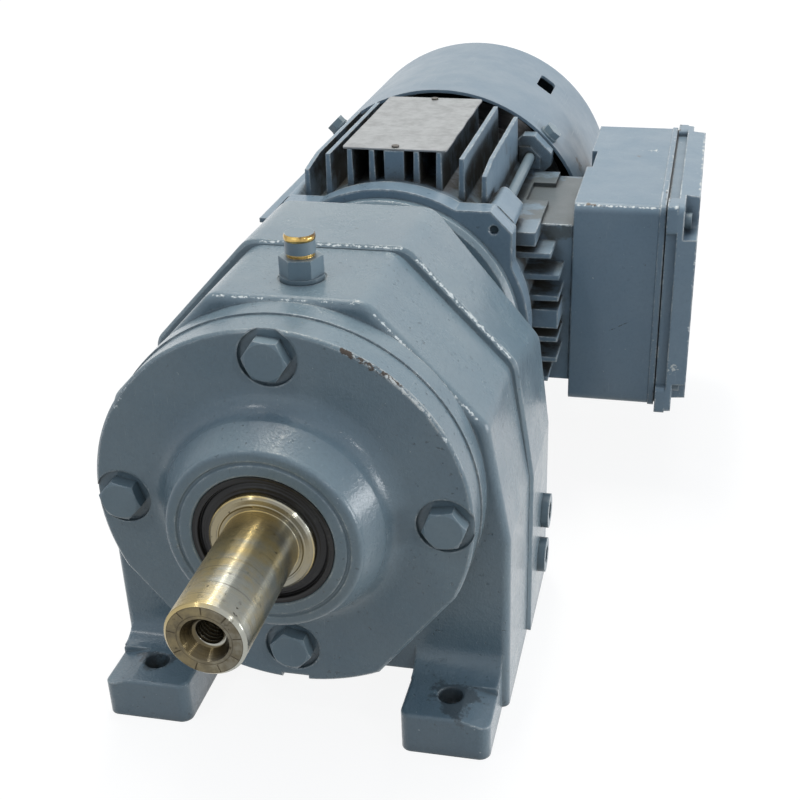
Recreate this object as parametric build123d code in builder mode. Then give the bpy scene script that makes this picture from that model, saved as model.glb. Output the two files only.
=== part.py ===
from build123d import *
from math import acos, cos, pi, radians, sin, sqrt, tan
import os

os.makedirs("parts", exist_ok=True)

# Two-stage coaxial gear motor on feet. Millimetres. The origin lies on the floor plane, in the
# middle of the four foot holes. The output shaft points to -Y, the motor lies to +Y, +Z is up and
# the terminal box is on the +X side.

# Fits and clearances
seat_gap = 0.02
running_gap = 0.05
free_gap = 0.3

# Feet
shaft_height = 90.0
foot_length = 155.8
foot_inner_x = 39.1
foot_width = 31.8
foot_thickness = 16.3
foot_corner = 4.0
foot_fillet = 9.0
foot_edge = 1.2
foot_slope_x = 60.0
foot_slope_drop = 3.0
foot_hole = 9.0
foot_hole_span_x = 110.0
foot_hole_span_y = 130.0

# Gear housing, from the cover joint backwards
cover_joint_y = -58.0
collar_step = 0.6
collar_length = 9.2
front_block_length = 46.7
rear_block_length = 44.6
housing_wall = 7.0
front_top = 156.5
front_top_half = 26.2
front_shoulder_x = 65.6
front_shoulder_z = 115.5
front_waist_x = 73.3
rear_top = 158.2
rear_top_half = 29.4
rear_shoulder_x = 68.1
rear_shoulder_z = 117.3
rear_shoulder_drop = 9.0
rear_waist_x = 74.8
waist_z = 71.0
block_corner = 9.0
front_edge = 3.0
rear_edge = 1.3
front_underside = 13.0
rear_underside = 6.5
mouth_radius = 50.0
bulkhead_lead = 6.9
bulkhead_thickness = 16.0

# Breather and oil plugs
breather_y = -30.0
breather_seat = 16.5
breather_seat_depth = 0.3
breather_thread = 10.0
breather_across = 13.0
breather_washer = 1.7
breather_hex_height = 6.3
breather_groove = 1.3
breather_ring = 4.3
breather_band = 2.3
plug_head = 14.0
plug_head_height = 3.0
plug_thread = 9.0
plug_places = ((30.0, 37.5), (22.0, 21.5))

# Output cover
cover_radius = 64.7
cover_foot_radius = 70.2
flat_start_angle = 25.9
flat_end_angle = 64.1
cover_edge = 1.0
cover_notch = 10.0
cover_notch_depth = 2.5
cover_thickness = 12.4
boss_height = 19.1
boss_radius = 33.0
cover_dome_radius = 45.5
cover_spigot = 7.0
cover_bolt_circle = 55.4
cover_bolt = 8.0
cover_bolt_across = 13.0
cover_bolt_head = 5.3
cover_bolt_turns = (8.0, 25.0, -12.0, 16.0)
cover_bolt_grip = 26.0
cover_spotface = 19.5
spotface_depth = 1.6

# Output shaft
shaft_diameter = 25.0
shaft_length = 50.0
shaft_shoulder = 1.6
seal_journal = 35.0
seal_outside = 47.0
seal_width = 7.0
shaft_collar = 42.0
wheel_journal = 28.0
key_width = 8.0
key_length = 40.0
key_depth = 4.0
end_thread_drill = 8.5
end_thread_depth = 22.0
end_recess = 14.9
end_cone_depth = 3.8
end_cone_foot = 10.5

# Gear train: both stages share one centre distance, so the motor and output axes are in line
pressure_angle = radians(20)
flank_relief = 0.06
output_module = 2.0
output_pinion_teeth = 12
output_wheel_teeth = 30
output_shift = 0.4
output_face = 20.0
input_module = 1.5
input_pinion_teeth = 14
input_wheel_teeth = 42
input_shift = 0.3
input_face = 14.0
pinion_overlap = 1.0
wheel_to_bulkhead = 7.0
rim_thickness = 4.0
web_thickness = 8.0

# Bearings: bore, outside, width
front_bearing = (35.0, 62.0, 14.0)
tail_bearing = (20.0, 42.0, 12.0)
layshaft_bearing = (15.0, 32.0, 9.0)
drive_end_bearing = (20.0, 47.0, 14.0)
rear_end_bearing = (17.0, 40.0, 12.0)
ring_share = 0.3
shield_thickness = 1.0

# Motor adapter
adapter_length = 42.5
adapter_plate = 8.0
adapter_inset = 5.0
neck_radius = 41.0
neck_wall = 7.0
adapter_disc_radius = 57.0
adapter_disc = 6.0
adapter_disc_edge = 2.0
input_seal_outside = 35.0
adapter_screw = 6.0
adapter_screw_head = 10.0

# Motor flange and stator housing
flange_half = 53.0
flange_radius = 60.5
flange_chamfer = 9.0
flange_thickness = 11.0
stator_radius = 59.0
stator_bore = 53.0
stator_length = 95.4
fin_start = 17.7
fin_pitch = 9.6
fin_root = 2.9
fin_angle = 88.6
fin_top = 71.6
fin_side = 70.7
centre_fin = 8.6
tie_rod_circle = 64.3
tie_rod = 5.0
tie_rod_opening = 3.8
tie_rod_setback = 3.0
lug_width = 13.5
lug_reach = 69.0
lug_end = 36.6
pad_x = 74.5
pad_half = 36.8
pad_start = 35.8
lead_hole = 28.0

# Stator and rotor
core_length = 62.0
core_start = 31.0
slot_count = 24
slot_depth = 9.0
slot_width = 4.6
rotor_radius = 36.0
air_gap = 0.3
winding_overhang = 12.0
core_journal = 28.0
rotor_shoulder = 26.0

# Rear shield, brake, fan and guard
shield_plate = 8.0
friction_boss = 15.6
friction_radius = 57.0
ear_reach = 73.0
ear_width = 19.5
ear_chamfer = 4.0
hood_reach = 68.2
hood_width = 15.0
hood_height = 1.2
finger_root = 69.0
finger_width = 12.0
brake_disc_radius = 46.0
brake_disc_thickness = 8.0
armature_thickness = 5.0
brake_travel = 0.4
magnet_length = 30.0
magnet_radius = 57.5
brake_bolt = 5.0
brake_bolt_circle = 52.0
fan_radius = 62.0
fan_depth = 16.0
fan_blades = 7
guard_gap = 0.5
guard_radius = 74.2
guard_length = 118.1
guard_sheet = 1.5
guard_corner = 8.0
guard_screw = 4.0
guard_screw_across = 8.0

# Terminal box
box_depth = 39.0
box_front_y = 120.0
box_length = 129.8
box_bottom = 42.9
box_height = 94.1
box_wall = 4.0
box_corner = 4.0
box_lip = 0.5
box_lip_width = 2.6
gasket_thickness = 0.6
lid_depth = 13.3
lid_overhang = 1.75
lid_overhang_front = 4.0
entry_thread = 25.0
entry_inset = 40.0

# Nameplate
plate_width = 45.0
plate_length = 88.4
plate_thickness = 0.8
plate_rivet = 1.1
plate_rivet_head = 1.6

# Stations along the shafts, worked out from the values above
front_block_y = cover_joint_y + collar_length
rear_block_y = front_block_y + front_block_length
housing_back_y = rear_block_y + rear_block_length
bulkhead_front_y = rear_block_y - bulkhead_lead
bulkhead_back_y = bulkhead_front_y + bulkhead_thickness
disc_face_y = cover_joint_y - cover_thickness
boss_face_y = disc_face_y - boss_height
shoulder_y = boss_face_y - shaft_shoulder
shaft_tip_y = shoulder_y - shaft_length
seal_y = boss_face_y + free_gap
front_bearing_back_y = cover_joint_y - cover_spigot
front_bearing_y = front_bearing_back_y - front_bearing[2]
output_wheel_back_y = bulkhead_front_y - wheel_to_bulkhead
output_wheel_y = output_wheel_back_y - output_face
layshaft_front_bearing_y = bulkhead_back_y - layshaft_bearing[2]
input_wheel_y = bulkhead_back_y + 5.0
layshaft_boss_y = housing_back_y - 11.5
motor_y = housing_back_y + adapter_length
tie_rod_y = motor_y + tie_rod_setback
stator_y = motor_y + flange_thickness
stator_back_y = stator_y + stator_length
flange_boss_y = stator_y + 8.0
drive_bearing_y = flange_boss_y - drive_end_bearing[2]
core_y = motor_y + core_start
core_back_y = core_y + core_length
shield_back_y = stator_back_y + shield_plate
friction_y = stator_back_y + friction_boss
guard_y = shield_back_y + guard_gap
guard_back_y = guard_y + guard_length
armature_y = friction_y + brake_disc_thickness + 2 * running_gap
magnet_y = armature_y + armature_thickness + brake_travel + running_gap
magnet_back_y = magnet_y + magnet_length
fan_back_y = guard_back_y - 12.0
fan_y = fan_back_y - fan_depth
box_face_x = pad_x + box_depth
lid_x = box_face_x + gasket_thickness

# Gear sizes
centre_distance = output_module * (output_pinion_teeth + output_wheel_teeth) / 2
layshaft_height = shaft_height - centre_distance
fin_top_z = shaft_height + fin_top

toward_back = (0, 1, 0)
toward_front = (0, -1, 0)


def across(y, height=0.0, turn=0.0):
    """Plane square to the shafts, seen from the output end: local x is +X and local y is up.

    A turn swings both about the shaft, anticlockwise in that view.
    """
    right = (cos(radians(turn)), 0, sin(radians(turn)))
    return Plane(origin=(0, y, height), x_dir=right, z_dir=(0, -1, 0))


def shaft_axis(height):
    """Axis of a shaft that lies at a height, pointing back."""
    return Axis((0, 0, height), (0, 1, 0))


def half_section(height, *points):
    """Closed half section of a turned piece, from (station, radius) points, drawn below its shaft."""
    with BuildSketch(Plane(origin=(0, 0, height), x_dir=(0, 1, 0), z_dir=(-1, 0, 0))) as outline:
        with BuildLine():
            Polyline(*points, close=True)
        make_face()
    return outline.sketch


def block_outline(y, top, top_half, shoulder_x, shoulder_z, waist_x, bottom, corner, inset=0.0):
    """Cross-section of the gear housing: flat top, sloped shoulders and upright sides."""
    with BuildSketch(across(y)) as outline:
        with BuildLine():
            Polyline(
                (0, top),
                (top_half, top),
                (shoulder_x, shoulder_z),
                (waist_x, waist_z),
                (waist_x, bottom),
                (0, bottom),
            )
            mirror(about=Plane.YZ)
        make_face()
        if inset > 0:
            offset(amount=-inset, kind=Kind.INTERSECTION)
        corners = outline.vertices().filter_by(lambda vertex: vertex.Y > bottom + inset + 1)
        fillet(corners, corner)
    return outline.sketch


def front_outline(y, bottom=0.0, inset=0.0):
    """Section of the front half of the gear housing."""
    return block_outline(
        y, front_top, front_top_half, front_shoulder_x, front_shoulder_z, front_waist_x,
        bottom, block_corner, inset,
    )


def rear_outline(y, drop=0.0, bottom=0.0, inset=0.0):
    """Section of the rear half of the gear housing, with its shoulder lowered by a drop."""
    return block_outline(
        y, rear_top, rear_top_half, rear_shoulder_x + drop / 4, rear_shoulder_z - drop, rear_waist_x,
        bottom, block_corner, inset,
    )


def cover_outline(y, grow=0.0):
    """Outline of the output cover: a disc whose foot is wider and ends in two slanted flats."""
    with BuildSketch(across(y, shaft_height)) as outline:
        with BuildLine():
            upper = CenterArc((0, 0), cover_radius, -flat_start_angle, 180 + 2 * flat_start_angle)
            lower = CenterArc((0, 0), cover_foot_radius, 180 + flat_end_angle, 180 - 2 * flat_end_angle)
            Line(upper @ 1, lower @ 0)
            Line(lower @ 1, upper @ 0)
        make_face()
        if grow > 0:
            offset(amount=grow, kind=Kind.INTERSECTION)
    return outline.sketch


def tooth_outline(plane, module, teeth, shift, turn=0.0):
    """Involute gear outline with the first tooth at the given angle."""
    pitch_radius = module * teeth / 2
    base_radius = pitch_radius * cos(pressure_angle)
    tip_radius = pitch_radius + module * (1 + shift)
    root_radius = pitch_radius - module * (1.25 - shift)
    half_tooth = (pi / 2 + 2 * shift * tan(pressure_angle)) / teeth - flank_relief / pitch_radius
    flank_start = max(base_radius, root_radius)

    def involute(radius):
        angle = acos(min(1.0, base_radius / radius))
        return tan(angle) - angle

    flank = [root_radius] + [flank_start + (tip_radius - flank_start) * share for share in (0.1, 0.5, 1.0)]
    points = []
    for tooth in range(teeth):
        centre = radians(turn) + 2 * pi * tooth / teeth
        sides = [(radius, half_tooth + involute(pitch_radius) - involute(radius)) for radius in flank]
        for radius, half in sides:
            points.append((radius * cos(centre - half), radius * sin(centre - half)))
        for radius, half in reversed(sides):
            points.append((radius * cos(centre + half), radius * sin(centre + half)))
    with BuildSketch(plane) as outline:
        with BuildLine():
            Polyline(*points, close=True)
        make_face()
    return outline.sketch


def root_radius_of(module, teeth, shift):
    """Root radius of a gear with a profile shift."""
    return module * teeth / 2 - module * (1.25 - shift)


def make_bearing(name, size, front_y, height):
    """Sealed ball bearing: the outer ring carries both seals, the inner ring sits on the shaft."""
    bore, outside, width = size
    inner = bore / 2 + seat_gap
    outer = outside / 2 - seat_gap
    ring = (outer - inner) * ring_share
    race = outer - ring
    lip = inner + ring + free_gap
    back_y = front_y + width
    with BuildPart() as outer_ring:
        revolve(
            half_section(
                height,
                (front_y, lip),
                (front_y, outer),
                (back_y, outer),
                (back_y, lip),
                (back_y - shield_thickness, lip),
                (back_y - shield_thickness, race),
                (front_y + shield_thickness, race),
                (front_y + shield_thickness, lip),
            ),
            axis=shaft_axis(height),
        )
    outer_ring.part.label = f"{name}_outer_ring"
    export_step(outer_ring.part, f"parts/{name}_outer_ring.step")
    with BuildPart() as inner_ring:
        revolve(
            half_section(
                height,
                (front_y, inner),
                (front_y, inner + ring),
                (back_y, inner + ring),
                (back_y, inner),
            ),
            axis=shaft_axis(height),
        )
    inner_ring.part.label = f"{name}_inner_ring"
    export_step(inner_ring.part, f"parts/{name}_inner_ring.step")


# Adapter screws stand just inside the housing walls
adapter_screw_half = ((22.0, 146.0), (57.0, 97.0), (57.0, 27.0))
adapter_screw_places = [(side * x, z) for side in (-1, 1) for x, z in adapter_screw_half]

# Two feet, each a thick bar along the housing; the outer edge falls away in front of the wall
with BuildPart() as feet:
    with BuildSketch(Plane.XY):
        with Locations((-foot_inner_x - foot_width / 2, 0), (foot_inner_x + foot_width / 2, 0)):
            RectangleRounded(foot_width, foot_length, foot_corner)
    extrude(amount=foot_thickness)
    fillet(feet.faces().filter_by(Axis.Z).group_by(Axis.Z)[-1].edges(), foot_edge)
    foot_outer_x = foot_inner_x + foot_width
    for side in (-1, 1):
        with BuildSketch(across(-foot_length / 2 - 1)):
            with BuildLine():
                Polyline(
                    (side * foot_slope_x, foot_thickness),
                    (side * foot_outer_x, foot_thickness - foot_slope_drop),
                    (side * (foot_outer_x + 1), foot_thickness - foot_slope_drop),
                    (side * (foot_outer_x + 1), foot_thickness + 1),
                    (side * foot_slope_x, foot_thickness + 1),
                    close=True,
                )
            make_face()
        extrude(amount=-(front_block_y - foot_fillet + foot_length / 2), mode=Mode.SUBTRACT)

# Gear housing: two cast blocks in one, a collar in the cover's outline in front, and the feet
with BuildPart() as gear_housing:
    extrude(front_outline(front_block_y), amount=front_block_length, dir=toward_back)
    front_face = gear_housing.faces().sort_by(Axis.Y)[0]
    fillet(front_face.edges().filter_by(lambda edge: edge.center().Z > 1), front_edge)
    edge_drop = rear_shoulder_drop * rear_edge / rear_block_length
    loft(
        [
            rear_outline(rear_block_y, inset=rear_edge),
            rear_outline(rear_block_y + rear_edge, edge_drop),
            rear_outline(housing_back_y, rear_shoulder_drop),
        ],
        ruled=True,
    )
    extrude(cover_outline(cover_joint_y, collar_step), amount=collar_length, dir=toward_back)
    # The underside stands clear of the floor between the feet
    with BuildSketch(Plane.YZ.offset(-foot_inner_x)):
        with BuildLine():
            Polyline(
                (cover_joint_y - 1, -1),
                (cover_joint_y - 1, front_underside),
                (rear_block_y, front_underside),
                (rear_block_y + 12, rear_underside),
                (housing_back_y + 1, rear_underside),
                (housing_back_y + 1, -1),
                close=True,
            )
        make_face()
    extrude(amount=2 * foot_inner_x, mode=Mode.SUBTRACT)
    # Front cavity with the mouth for the cover, and rear cavity open to the back
    with BuildSketch(across(cover_joint_y, shaft_height)):
        Circle(mouth_radius)
    extrude(amount=-(bulkhead_front_y - cover_joint_y), mode=Mode.SUBTRACT)
    extrude(
        front_outline(front_block_y + housing_wall, front_underside, housing_wall),
        amount=bulkhead_front_y - front_block_y - housing_wall,
        dir=toward_back,
        mode=Mode.SUBTRACT,
    )
    loft(
        [
            rear_outline(bulkhead_back_y, 0, rear_underside, housing_wall),
            rear_outline(housing_back_y + 0.01, rear_shoulder_drop, rear_underside, housing_wall),
        ],
        ruled=True,
        mode=Mode.SUBTRACT,
    )
    # Bulkhead bores: the output tail bearing from the front, the layshaft bearing from the back
    with BuildSketch(across(bulkhead_front_y, shaft_height)):
        Circle(tail_bearing[1] / 2)
    extrude(amount=-tail_bearing[2], mode=Mode.SUBTRACT)
    with BuildSketch(across(layshaft_front_bearing_y, layshaft_height)):
        Circle(layshaft_bearing[1] / 2)
    extrude(amount=-layshaft_bearing[2], mode=Mode.SUBTRACT)
    with BuildSketch(across(bulkhead_front_y, layshaft_height)):
        Circle(layshaft_bearing[0] / 2 + 4)
    extrude(amount=-bulkhead_thickness, mode=Mode.SUBTRACT)
    # Bosses for the adapter screws, from the bulkhead to the back face
    with BuildSketch(across(bulkhead_back_y)):
        with Locations(*adapter_screw_places):
            Circle(adapter_screw + 1.5)
    extrude(amount=-(housing_back_y - bulkhead_back_y))
    with BuildSketch(across(housing_back_y - 20)):
        with Locations(*adapter_screw_places):
            Circle(adapter_screw / 2)
    extrude(amount=-20, mode=Mode.SUBTRACT)
    # Cover bolt holes
    with BuildSketch(across(cover_joint_y, shaft_height)):
        with PolarLocations(cover_bolt_circle, 4):
            Circle(cover_bolt / 2)
    extrude(amount=-(cover_bolt_grip - cover_thickness + spotface_depth), mode=Mode.SUBTRACT)
    add(feet.part)
    # The rear cavity's floor is raised over the feet, so that the adapter plate closes it
    with BuildSketch(across(bulkhead_back_y)):
        for side in (-1, 1):
            with Locations((side * (foot_inner_x + foot_width / 2 - 1), foot_thickness)):
                Rectangle(foot_width, 2 * 5.0)
    extrude(amount=-(housing_back_y - bulkhead_back_y))
    # Hollow fillets where the front wall meets the feet
    foot_line_y = front_block_y - foot_fillet
    for foot_x in (-foot_inner_x - foot_width, foot_inner_x):
        with BuildSketch(Plane.YZ.offset(foot_x)):
            with BuildLine():
                CenterArc((foot_line_y, foot_thickness + foot_fillet), foot_fillet, 270, 90)
                Polyline(
                    (front_block_y, foot_thickness + foot_fillet),
                    (front_block_y + 1, foot_thickness + foot_fillet),
                    (front_block_y + 1, foot_thickness - 1),
                    (foot_line_y, foot_thickness - 1),
                    (foot_line_y, foot_thickness),
                )
            make_face()
        extrude(amount=foot_width)
    # Foot holes
    with Locations(Plane.XY.offset(foot_thickness)):
        with GridLocations(foot_hole_span_x, foot_hole_span_y, 2, 2):
            Hole(foot_hole / 2)
    # Spot-faced breather hole on top and two plug holes in the right wall
    with Locations(Plane.XY.offset(front_top)):
        with Locations((0, breather_y)):
            CounterBoreHole(breather_thread / 2, breather_seat / 2, breather_seat_depth, housing_wall + 1)
    with BuildSketch(Plane.YZ.offset(rear_waist_x - 2 * housing_wall)):
        with Locations(*plug_places):
            Circle(plug_thread / 2)
    extrude(amount=3 * housing_wall, mode=Mode.SUBTRACT)
gear_housing.part.label = "gear_housing"
export_step(gear_housing.part, "parts/gear_housing.step")

# Output cover: a bolted plate with a flared boss round the shaft
with BuildPart() as output_cover:
    extrude(cover_outline(cover_joint_y), amount=cover_thickness, dir=toward_front)
    chamfer(output_cover.faces().sort_by(Axis.Y)[0].edges(), cover_edge)
    with BuildSketch(across(cover_joint_y, shaft_height)):
        Circle(cover_dome_radius)
        with Locations((0, -cover_foot_radius)):
            Rectangle(cover_notch, 2 * cover_notch_depth)
    extrude(amount=cover_thickness, mode=Mode.SUBTRACT)
    dome_root = 8.0
    boss_edge = 2.0
    seal_bore = seal_outside / 2
    seal_back_y = seal_y + seal_width
    bearing_bore = front_bearing[1] / 2
    spigot_radius = mouth_radius - running_gap
    with BuildSketch(Plane(origin=(0, 0, shaft_height), x_dir=(0, 1, 0), z_dir=(1, 0, 0))):
        with BuildLine():
            CenterArc((disc_face_y - dome_root, cover_dome_radius), dome_root, 270, 90)
            Line(
                (disc_face_y - dome_root, cover_dome_radius - dome_root),
                (boss_face_y + boss_edge, boss_radius),
            )
            CenterArc((boss_face_y + boss_edge, boss_radius - boss_edge), boss_edge, 90, 90)
            Polyline(
                (boss_face_y, boss_radius - boss_edge),
                (boss_face_y, seal_bore + 5.6),
                (boss_face_y + 0.6, seal_bore + 5.2),
                (boss_face_y + 0.6, seal_bore + 4.6),
                (boss_face_y, seal_bore + 4.2),
                (boss_face_y, seal_bore + 0.6),
                (boss_face_y + 0.6, seal_bore),
                (seal_back_y, seal_bore),
                (seal_back_y, seal_bore - 4),
                (front_bearing_y, seal_bore - 4),
                (front_bearing_y, bearing_bore),
                (front_bearing_back_y, bearing_bore),
                (cover_joint_y + cover_spigot, spigot_radius - 5),
                (cover_joint_y + cover_spigot, spigot_radius),
                (disc_face_y, spigot_radius),
                (disc_face_y, cover_dome_radius),
            )
        make_face()
    revolve(axis=shaft_axis(shaft_height))
    with BuildSketch(across(disc_face_y, shaft_height)):
        with PolarLocations(cover_bolt_circle, 4):
            Circle(cover_spotface / 2)
    extrude(amount=-spotface_depth, mode=Mode.SUBTRACT)
    with BuildSketch(across(disc_face_y, shaft_height)):
        with PolarLocations(cover_bolt_circle, 4):
            Circle(cover_bolt / 2 + free_gap)
    extrude(amount=-cover_thickness, mode=Mode.SUBTRACT)
output_cover.part.label = "output_cover"
export_step(output_cover.part, "parts/output_cover.step")

# Four hexagon bolts hold the cover
with BuildPart() as cover_screws:
    bolt_seat_y = disc_face_y + spotface_depth
    bolt_top_y = bolt_seat_y - cover_bolt_head
    for number, turn in enumerate(cover_bolt_turns):
        with BuildSketch(across(bolt_seat_y, shaft_height, 90 * number)):
            with Locations((cover_bolt_circle, 0)):
                RegularPolygon(cover_bolt_across / 2, 6, major_radius=False, rotation=turn)
        extrude(amount=cover_bolt_head)
    # The heads' corners are turned off at the top
    with BuildSketch(across(bolt_top_y, shaft_height)):
        with PolarLocations(cover_bolt_circle, 4):
            Circle(cover_bolt_across / 2 - 0.3)
    extrude(amount=-cover_bolt_head, taper=-60, mode=Mode.INTERSECT)
    with BuildSketch(across(bolt_seat_y, shaft_height)):
        with PolarLocations(cover_bolt_circle, 4):
            Circle(cover_bolt / 2 - seat_gap)
    extrude(amount=-(cover_bolt_grip - 1))
cover_screws.part.label = "cover_screws"
export_step(cover_screws.part, "parts/cover_screws.step")

# Lip seal round the output shaft
with BuildPart() as output_seal:
    seal_lip = seal_journal / 2 + running_gap
    seal_case = seal_outside / 2 - seat_gap
    revolve(
        half_section(
            shaft_height,
            (seal_y, seal_case),
            (seal_y + seal_width, seal_case),
            (seal_y + seal_width, seal_case - 1.5),
            (seal_y + 2.4, seal_case - 1.5),
            (seal_y + 2.4, seal_lip + 1.5),
            (seal_y + seal_width - 1, seal_lip + 1.5),
            (seal_y + seal_width - 1, seal_lip),
            (seal_y + 0.6, seal_lip),
            (seal_y + 0.6, seal_lip + 2),
            (seal_y + 1.2, seal_case - 2.2),
            (seal_y, seal_case - 1.8),
        ),
        axis=shaft_axis(shaft_height),
    )
output_seal.part.label = "output_seal"
export_step(output_seal.part, "parts/output_seal.step")

# Output shaft, with an open keyway on the underside and a centre hole in the end
keyway_y = shaft_tip_y + shaft_length / 2
with BuildPart() as output_shaft:
    tail_end_y = bulkhead_front_y + tail_bearing[2] - 0.5
    revolve(
        half_section(
            shaft_height,
            (shaft_tip_y, 0),
            (shaft_tip_y, shaft_diameter / 2 - 1),
            (shaft_tip_y + 1, shaft_diameter / 2),
            (shoulder_y, shaft_diameter / 2),
            (shoulder_y, seal_journal / 2 - 1),
            (shoulder_y + 1, seal_journal / 2),
            (front_bearing_back_y, seal_journal / 2),
            (front_bearing_back_y, shaft_collar / 2),
            (output_wheel_y, shaft_collar / 2),
            (output_wheel_y, wheel_journal / 2),
            (bulkhead_front_y, wheel_journal / 2),
            (bulkhead_front_y, tail_bearing[0] / 2),
            (tail_end_y, tail_bearing[0] / 2),
            (tail_end_y, 0),
        ),
        axis=shaft_axis(shaft_height),
    )
    with BuildSketch(Plane.XY.offset(shaft_height - shaft_diameter / 2)):
        with Locations((0, keyway_y)):
            SlotOverall(key_length, key_width, rotation=90)
    extrude(amount=key_depth, mode=Mode.SUBTRACT)
    revolve(
        half_section(
            shaft_height,
            (shaft_tip_y, 0),
            (shaft_tip_y, end_recess / 2),
            (shaft_tip_y + end_cone_depth, end_cone_foot / 2),
            (shaft_tip_y + end_cone_depth + 0.4, end_thread_drill / 2),
            (shaft_tip_y + end_thread_depth, end_thread_drill / 2),
            (shaft_tip_y + end_thread_depth + end_thread_drill / 4, 0),
        ),
        axis=shaft_axis(shaft_height),
        mode=Mode.SUBTRACT,
    )
output_shaft.part.label = "output_shaft"
export_step(output_shaft.part, "parts/output_shaft.step")

# Output wheel, pressed on the shaft, with a thin web between hub and rim
with BuildPart() as output_wheel:
    output_rim = root_radius_of(output_module, output_wheel_teeth, -output_shift) - rim_thickness
    output_hub = wheel_journal / 2 + 4
    extrude(
        tooth_outline(
            across(output_wheel_y, shaft_height), output_module, output_wheel_teeth, -output_shift
        ),
        amount=output_face,
        dir=toward_back,
    )
    with BuildSketch(across(output_wheel_y, shaft_height)):
        Circle(wheel_journal / 2 + seat_gap)
    extrude(amount=-output_face, mode=Mode.SUBTRACT)
    recess_depth = (output_face - web_thickness) / 2
    for recess_y in (output_wheel_y, output_wheel_back_y - recess_depth):
        with BuildSketch(across(recess_y, shaft_height)):
            Circle(output_rim)
            Circle(output_hub, mode=Mode.SUBTRACT)
        extrude(amount=-recess_depth, mode=Mode.SUBTRACT)
output_wheel.part.label = "output_wheel"
export_step(output_wheel.part, "parts/output_wheel.step")

# Layshaft below the output shaft, with its pinion cut in one piece
with BuildPart() as layshaft:
    pinion_y = output_wheel_y - pinion_overlap
    pinion_back_y = output_wheel_back_y + pinion_overlap
    layshaft_journal = layshaft_bearing[0] / 2
    layshaft_end_y = layshaft_boss_y + layshaft_bearing[2]
    extrude(
        tooth_outline(
            across(pinion_y, layshaft_height), output_module, output_pinion_teeth, output_shift
        ),
        amount=pinion_back_y - pinion_y,
        dir=toward_back,
    )
    revolve(
        half_section(
            layshaft_height,
            (pinion_back_y - 1, 0),
            (pinion_back_y - 1, layshaft_journal + 2.5),
            (layshaft_front_bearing_y, layshaft_journal + 2.5),
            (layshaft_front_bearing_y, layshaft_journal),
            (layshaft_end_y - 1, layshaft_journal),
            (layshaft_end_y, layshaft_journal - 1),
            (layshaft_end_y, 0),
        ),
        axis=shaft_axis(layshaft_height),
    )
layshaft.part.label = "layshaft"
export_step(layshaft.part, "parts/layshaft.step")

# Layshaft wheel, driven by the motor pinion; its hub spaces the two bearings
with BuildPart() as layshaft_wheel:
    input_rim = root_radius_of(input_module, input_wheel_teeth, -input_shift) - rim_thickness
    input_hub = layshaft_bearing[0] / 2 + 5.5
    extrude(
        tooth_outline(
            across(input_wheel_y, layshaft_height), input_module, input_wheel_teeth, -input_shift,
            180 / input_wheel_teeth,
        ),
        amount=input_face,
        dir=toward_back,
    )
    with BuildSketch(across(bulkhead_back_y + 1, layshaft_height)):
        Circle(input_hub)
    extrude(amount=-(layshaft_boss_y - bulkhead_back_y - 2))
    with BuildSketch(across(bulkhead_back_y, layshaft_height)):
        Circle(layshaft_bearing[0] / 2 + 2)
    extrude(amount=-(layshaft_boss_y - bulkhead_back_y))
    with BuildSketch(across(bulkhead_back_y, layshaft_height)):
        Circle(layshaft_bearing[0] / 2 + seat_gap)
    extrude(amount=-(layshaft_boss_y - bulkhead_back_y), mode=Mode.SUBTRACT)
    web_recess = (input_face - web_thickness) / 2
    for recess_y in (input_wheel_y, input_wheel_y + input_face - web_recess):
        with BuildSketch(across(recess_y, layshaft_height)):
            Circle(input_rim)
            Circle(input_hub, mode=Mode.SUBTRACT)
        extrude(amount=-web_recess, mode=Mode.SUBTRACT)
    with BuildSketch(across(input_wheel_y, layshaft_height)):
        with PolarLocations((input_rim + input_hub) / 2, 6):
            Circle(3.5)
    extrude(amount=-input_face, mode=Mode.SUBTRACT)
layshaft_wheel.part.label = "layshaft_wheel"
export_step(layshaft_wheel.part, "parts/layshaft_wheel.step")

# Bearings of all three shafts
make_bearing("output_front_bearing", front_bearing, front_bearing_y, shaft_height)
make_bearing("output_tail_bearing", tail_bearing, bulkhead_front_y, shaft_height)
make_bearing("layshaft_front_bearing", layshaft_bearing, layshaft_front_bearing_y, layshaft_height)
make_bearing("layshaft_rear_bearing", layshaft_bearing, layshaft_boss_y, layshaft_height)
make_bearing("motor_drive_bearing", drive_end_bearing, drive_bearing_y, shaft_height)
make_bearing("motor_rear_bearing", rear_end_bearing, stator_back_y, shaft_height)

# Breather: hexagon body with its washer face, and a cap whose upper band is bare and bulges
breather_seat_z = front_top - breather_seat_depth
breather_hex_z = breather_seat_z + breather_washer
breather_groove_z = breather_hex_z + breather_hex_height
breather_cap_z = breather_groove_z + breather_groove
with BuildPart() as breather_body:
    with BuildSketch(Plane.XY.offset(breather_seat_z - housing_wall)):
        with Locations((0, breather_y)):
            Circle(breather_thread / 2 - seat_gap)
    extrude(amount=housing_wall)
    with BuildSketch(Plane.XY.offset(breather_seat_z)):
        with Locations((0, breather_y)):
            Circle(breather_seat / 2 - 0.65)
    extrude(amount=breather_washer)
    with BuildSketch(Plane.XY.offset(breather_hex_z)):
        with Locations((0, breather_y)):
            RegularPolygon(breather_across / 2, 6, major_radius=False, rotation=12)
    extrude(amount=breather_hex_height)
    with BuildSketch(Plane.XY.offset(breather_groove_z)):
        with Locations((0, breather_y)):
            Circle(breather_thread / 2 - 0.25)
    extrude(amount=breather_groove)
breather_body.part.label = "breather_body"
export_step(breather_body.part, "parts/breather_body.step")

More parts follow.
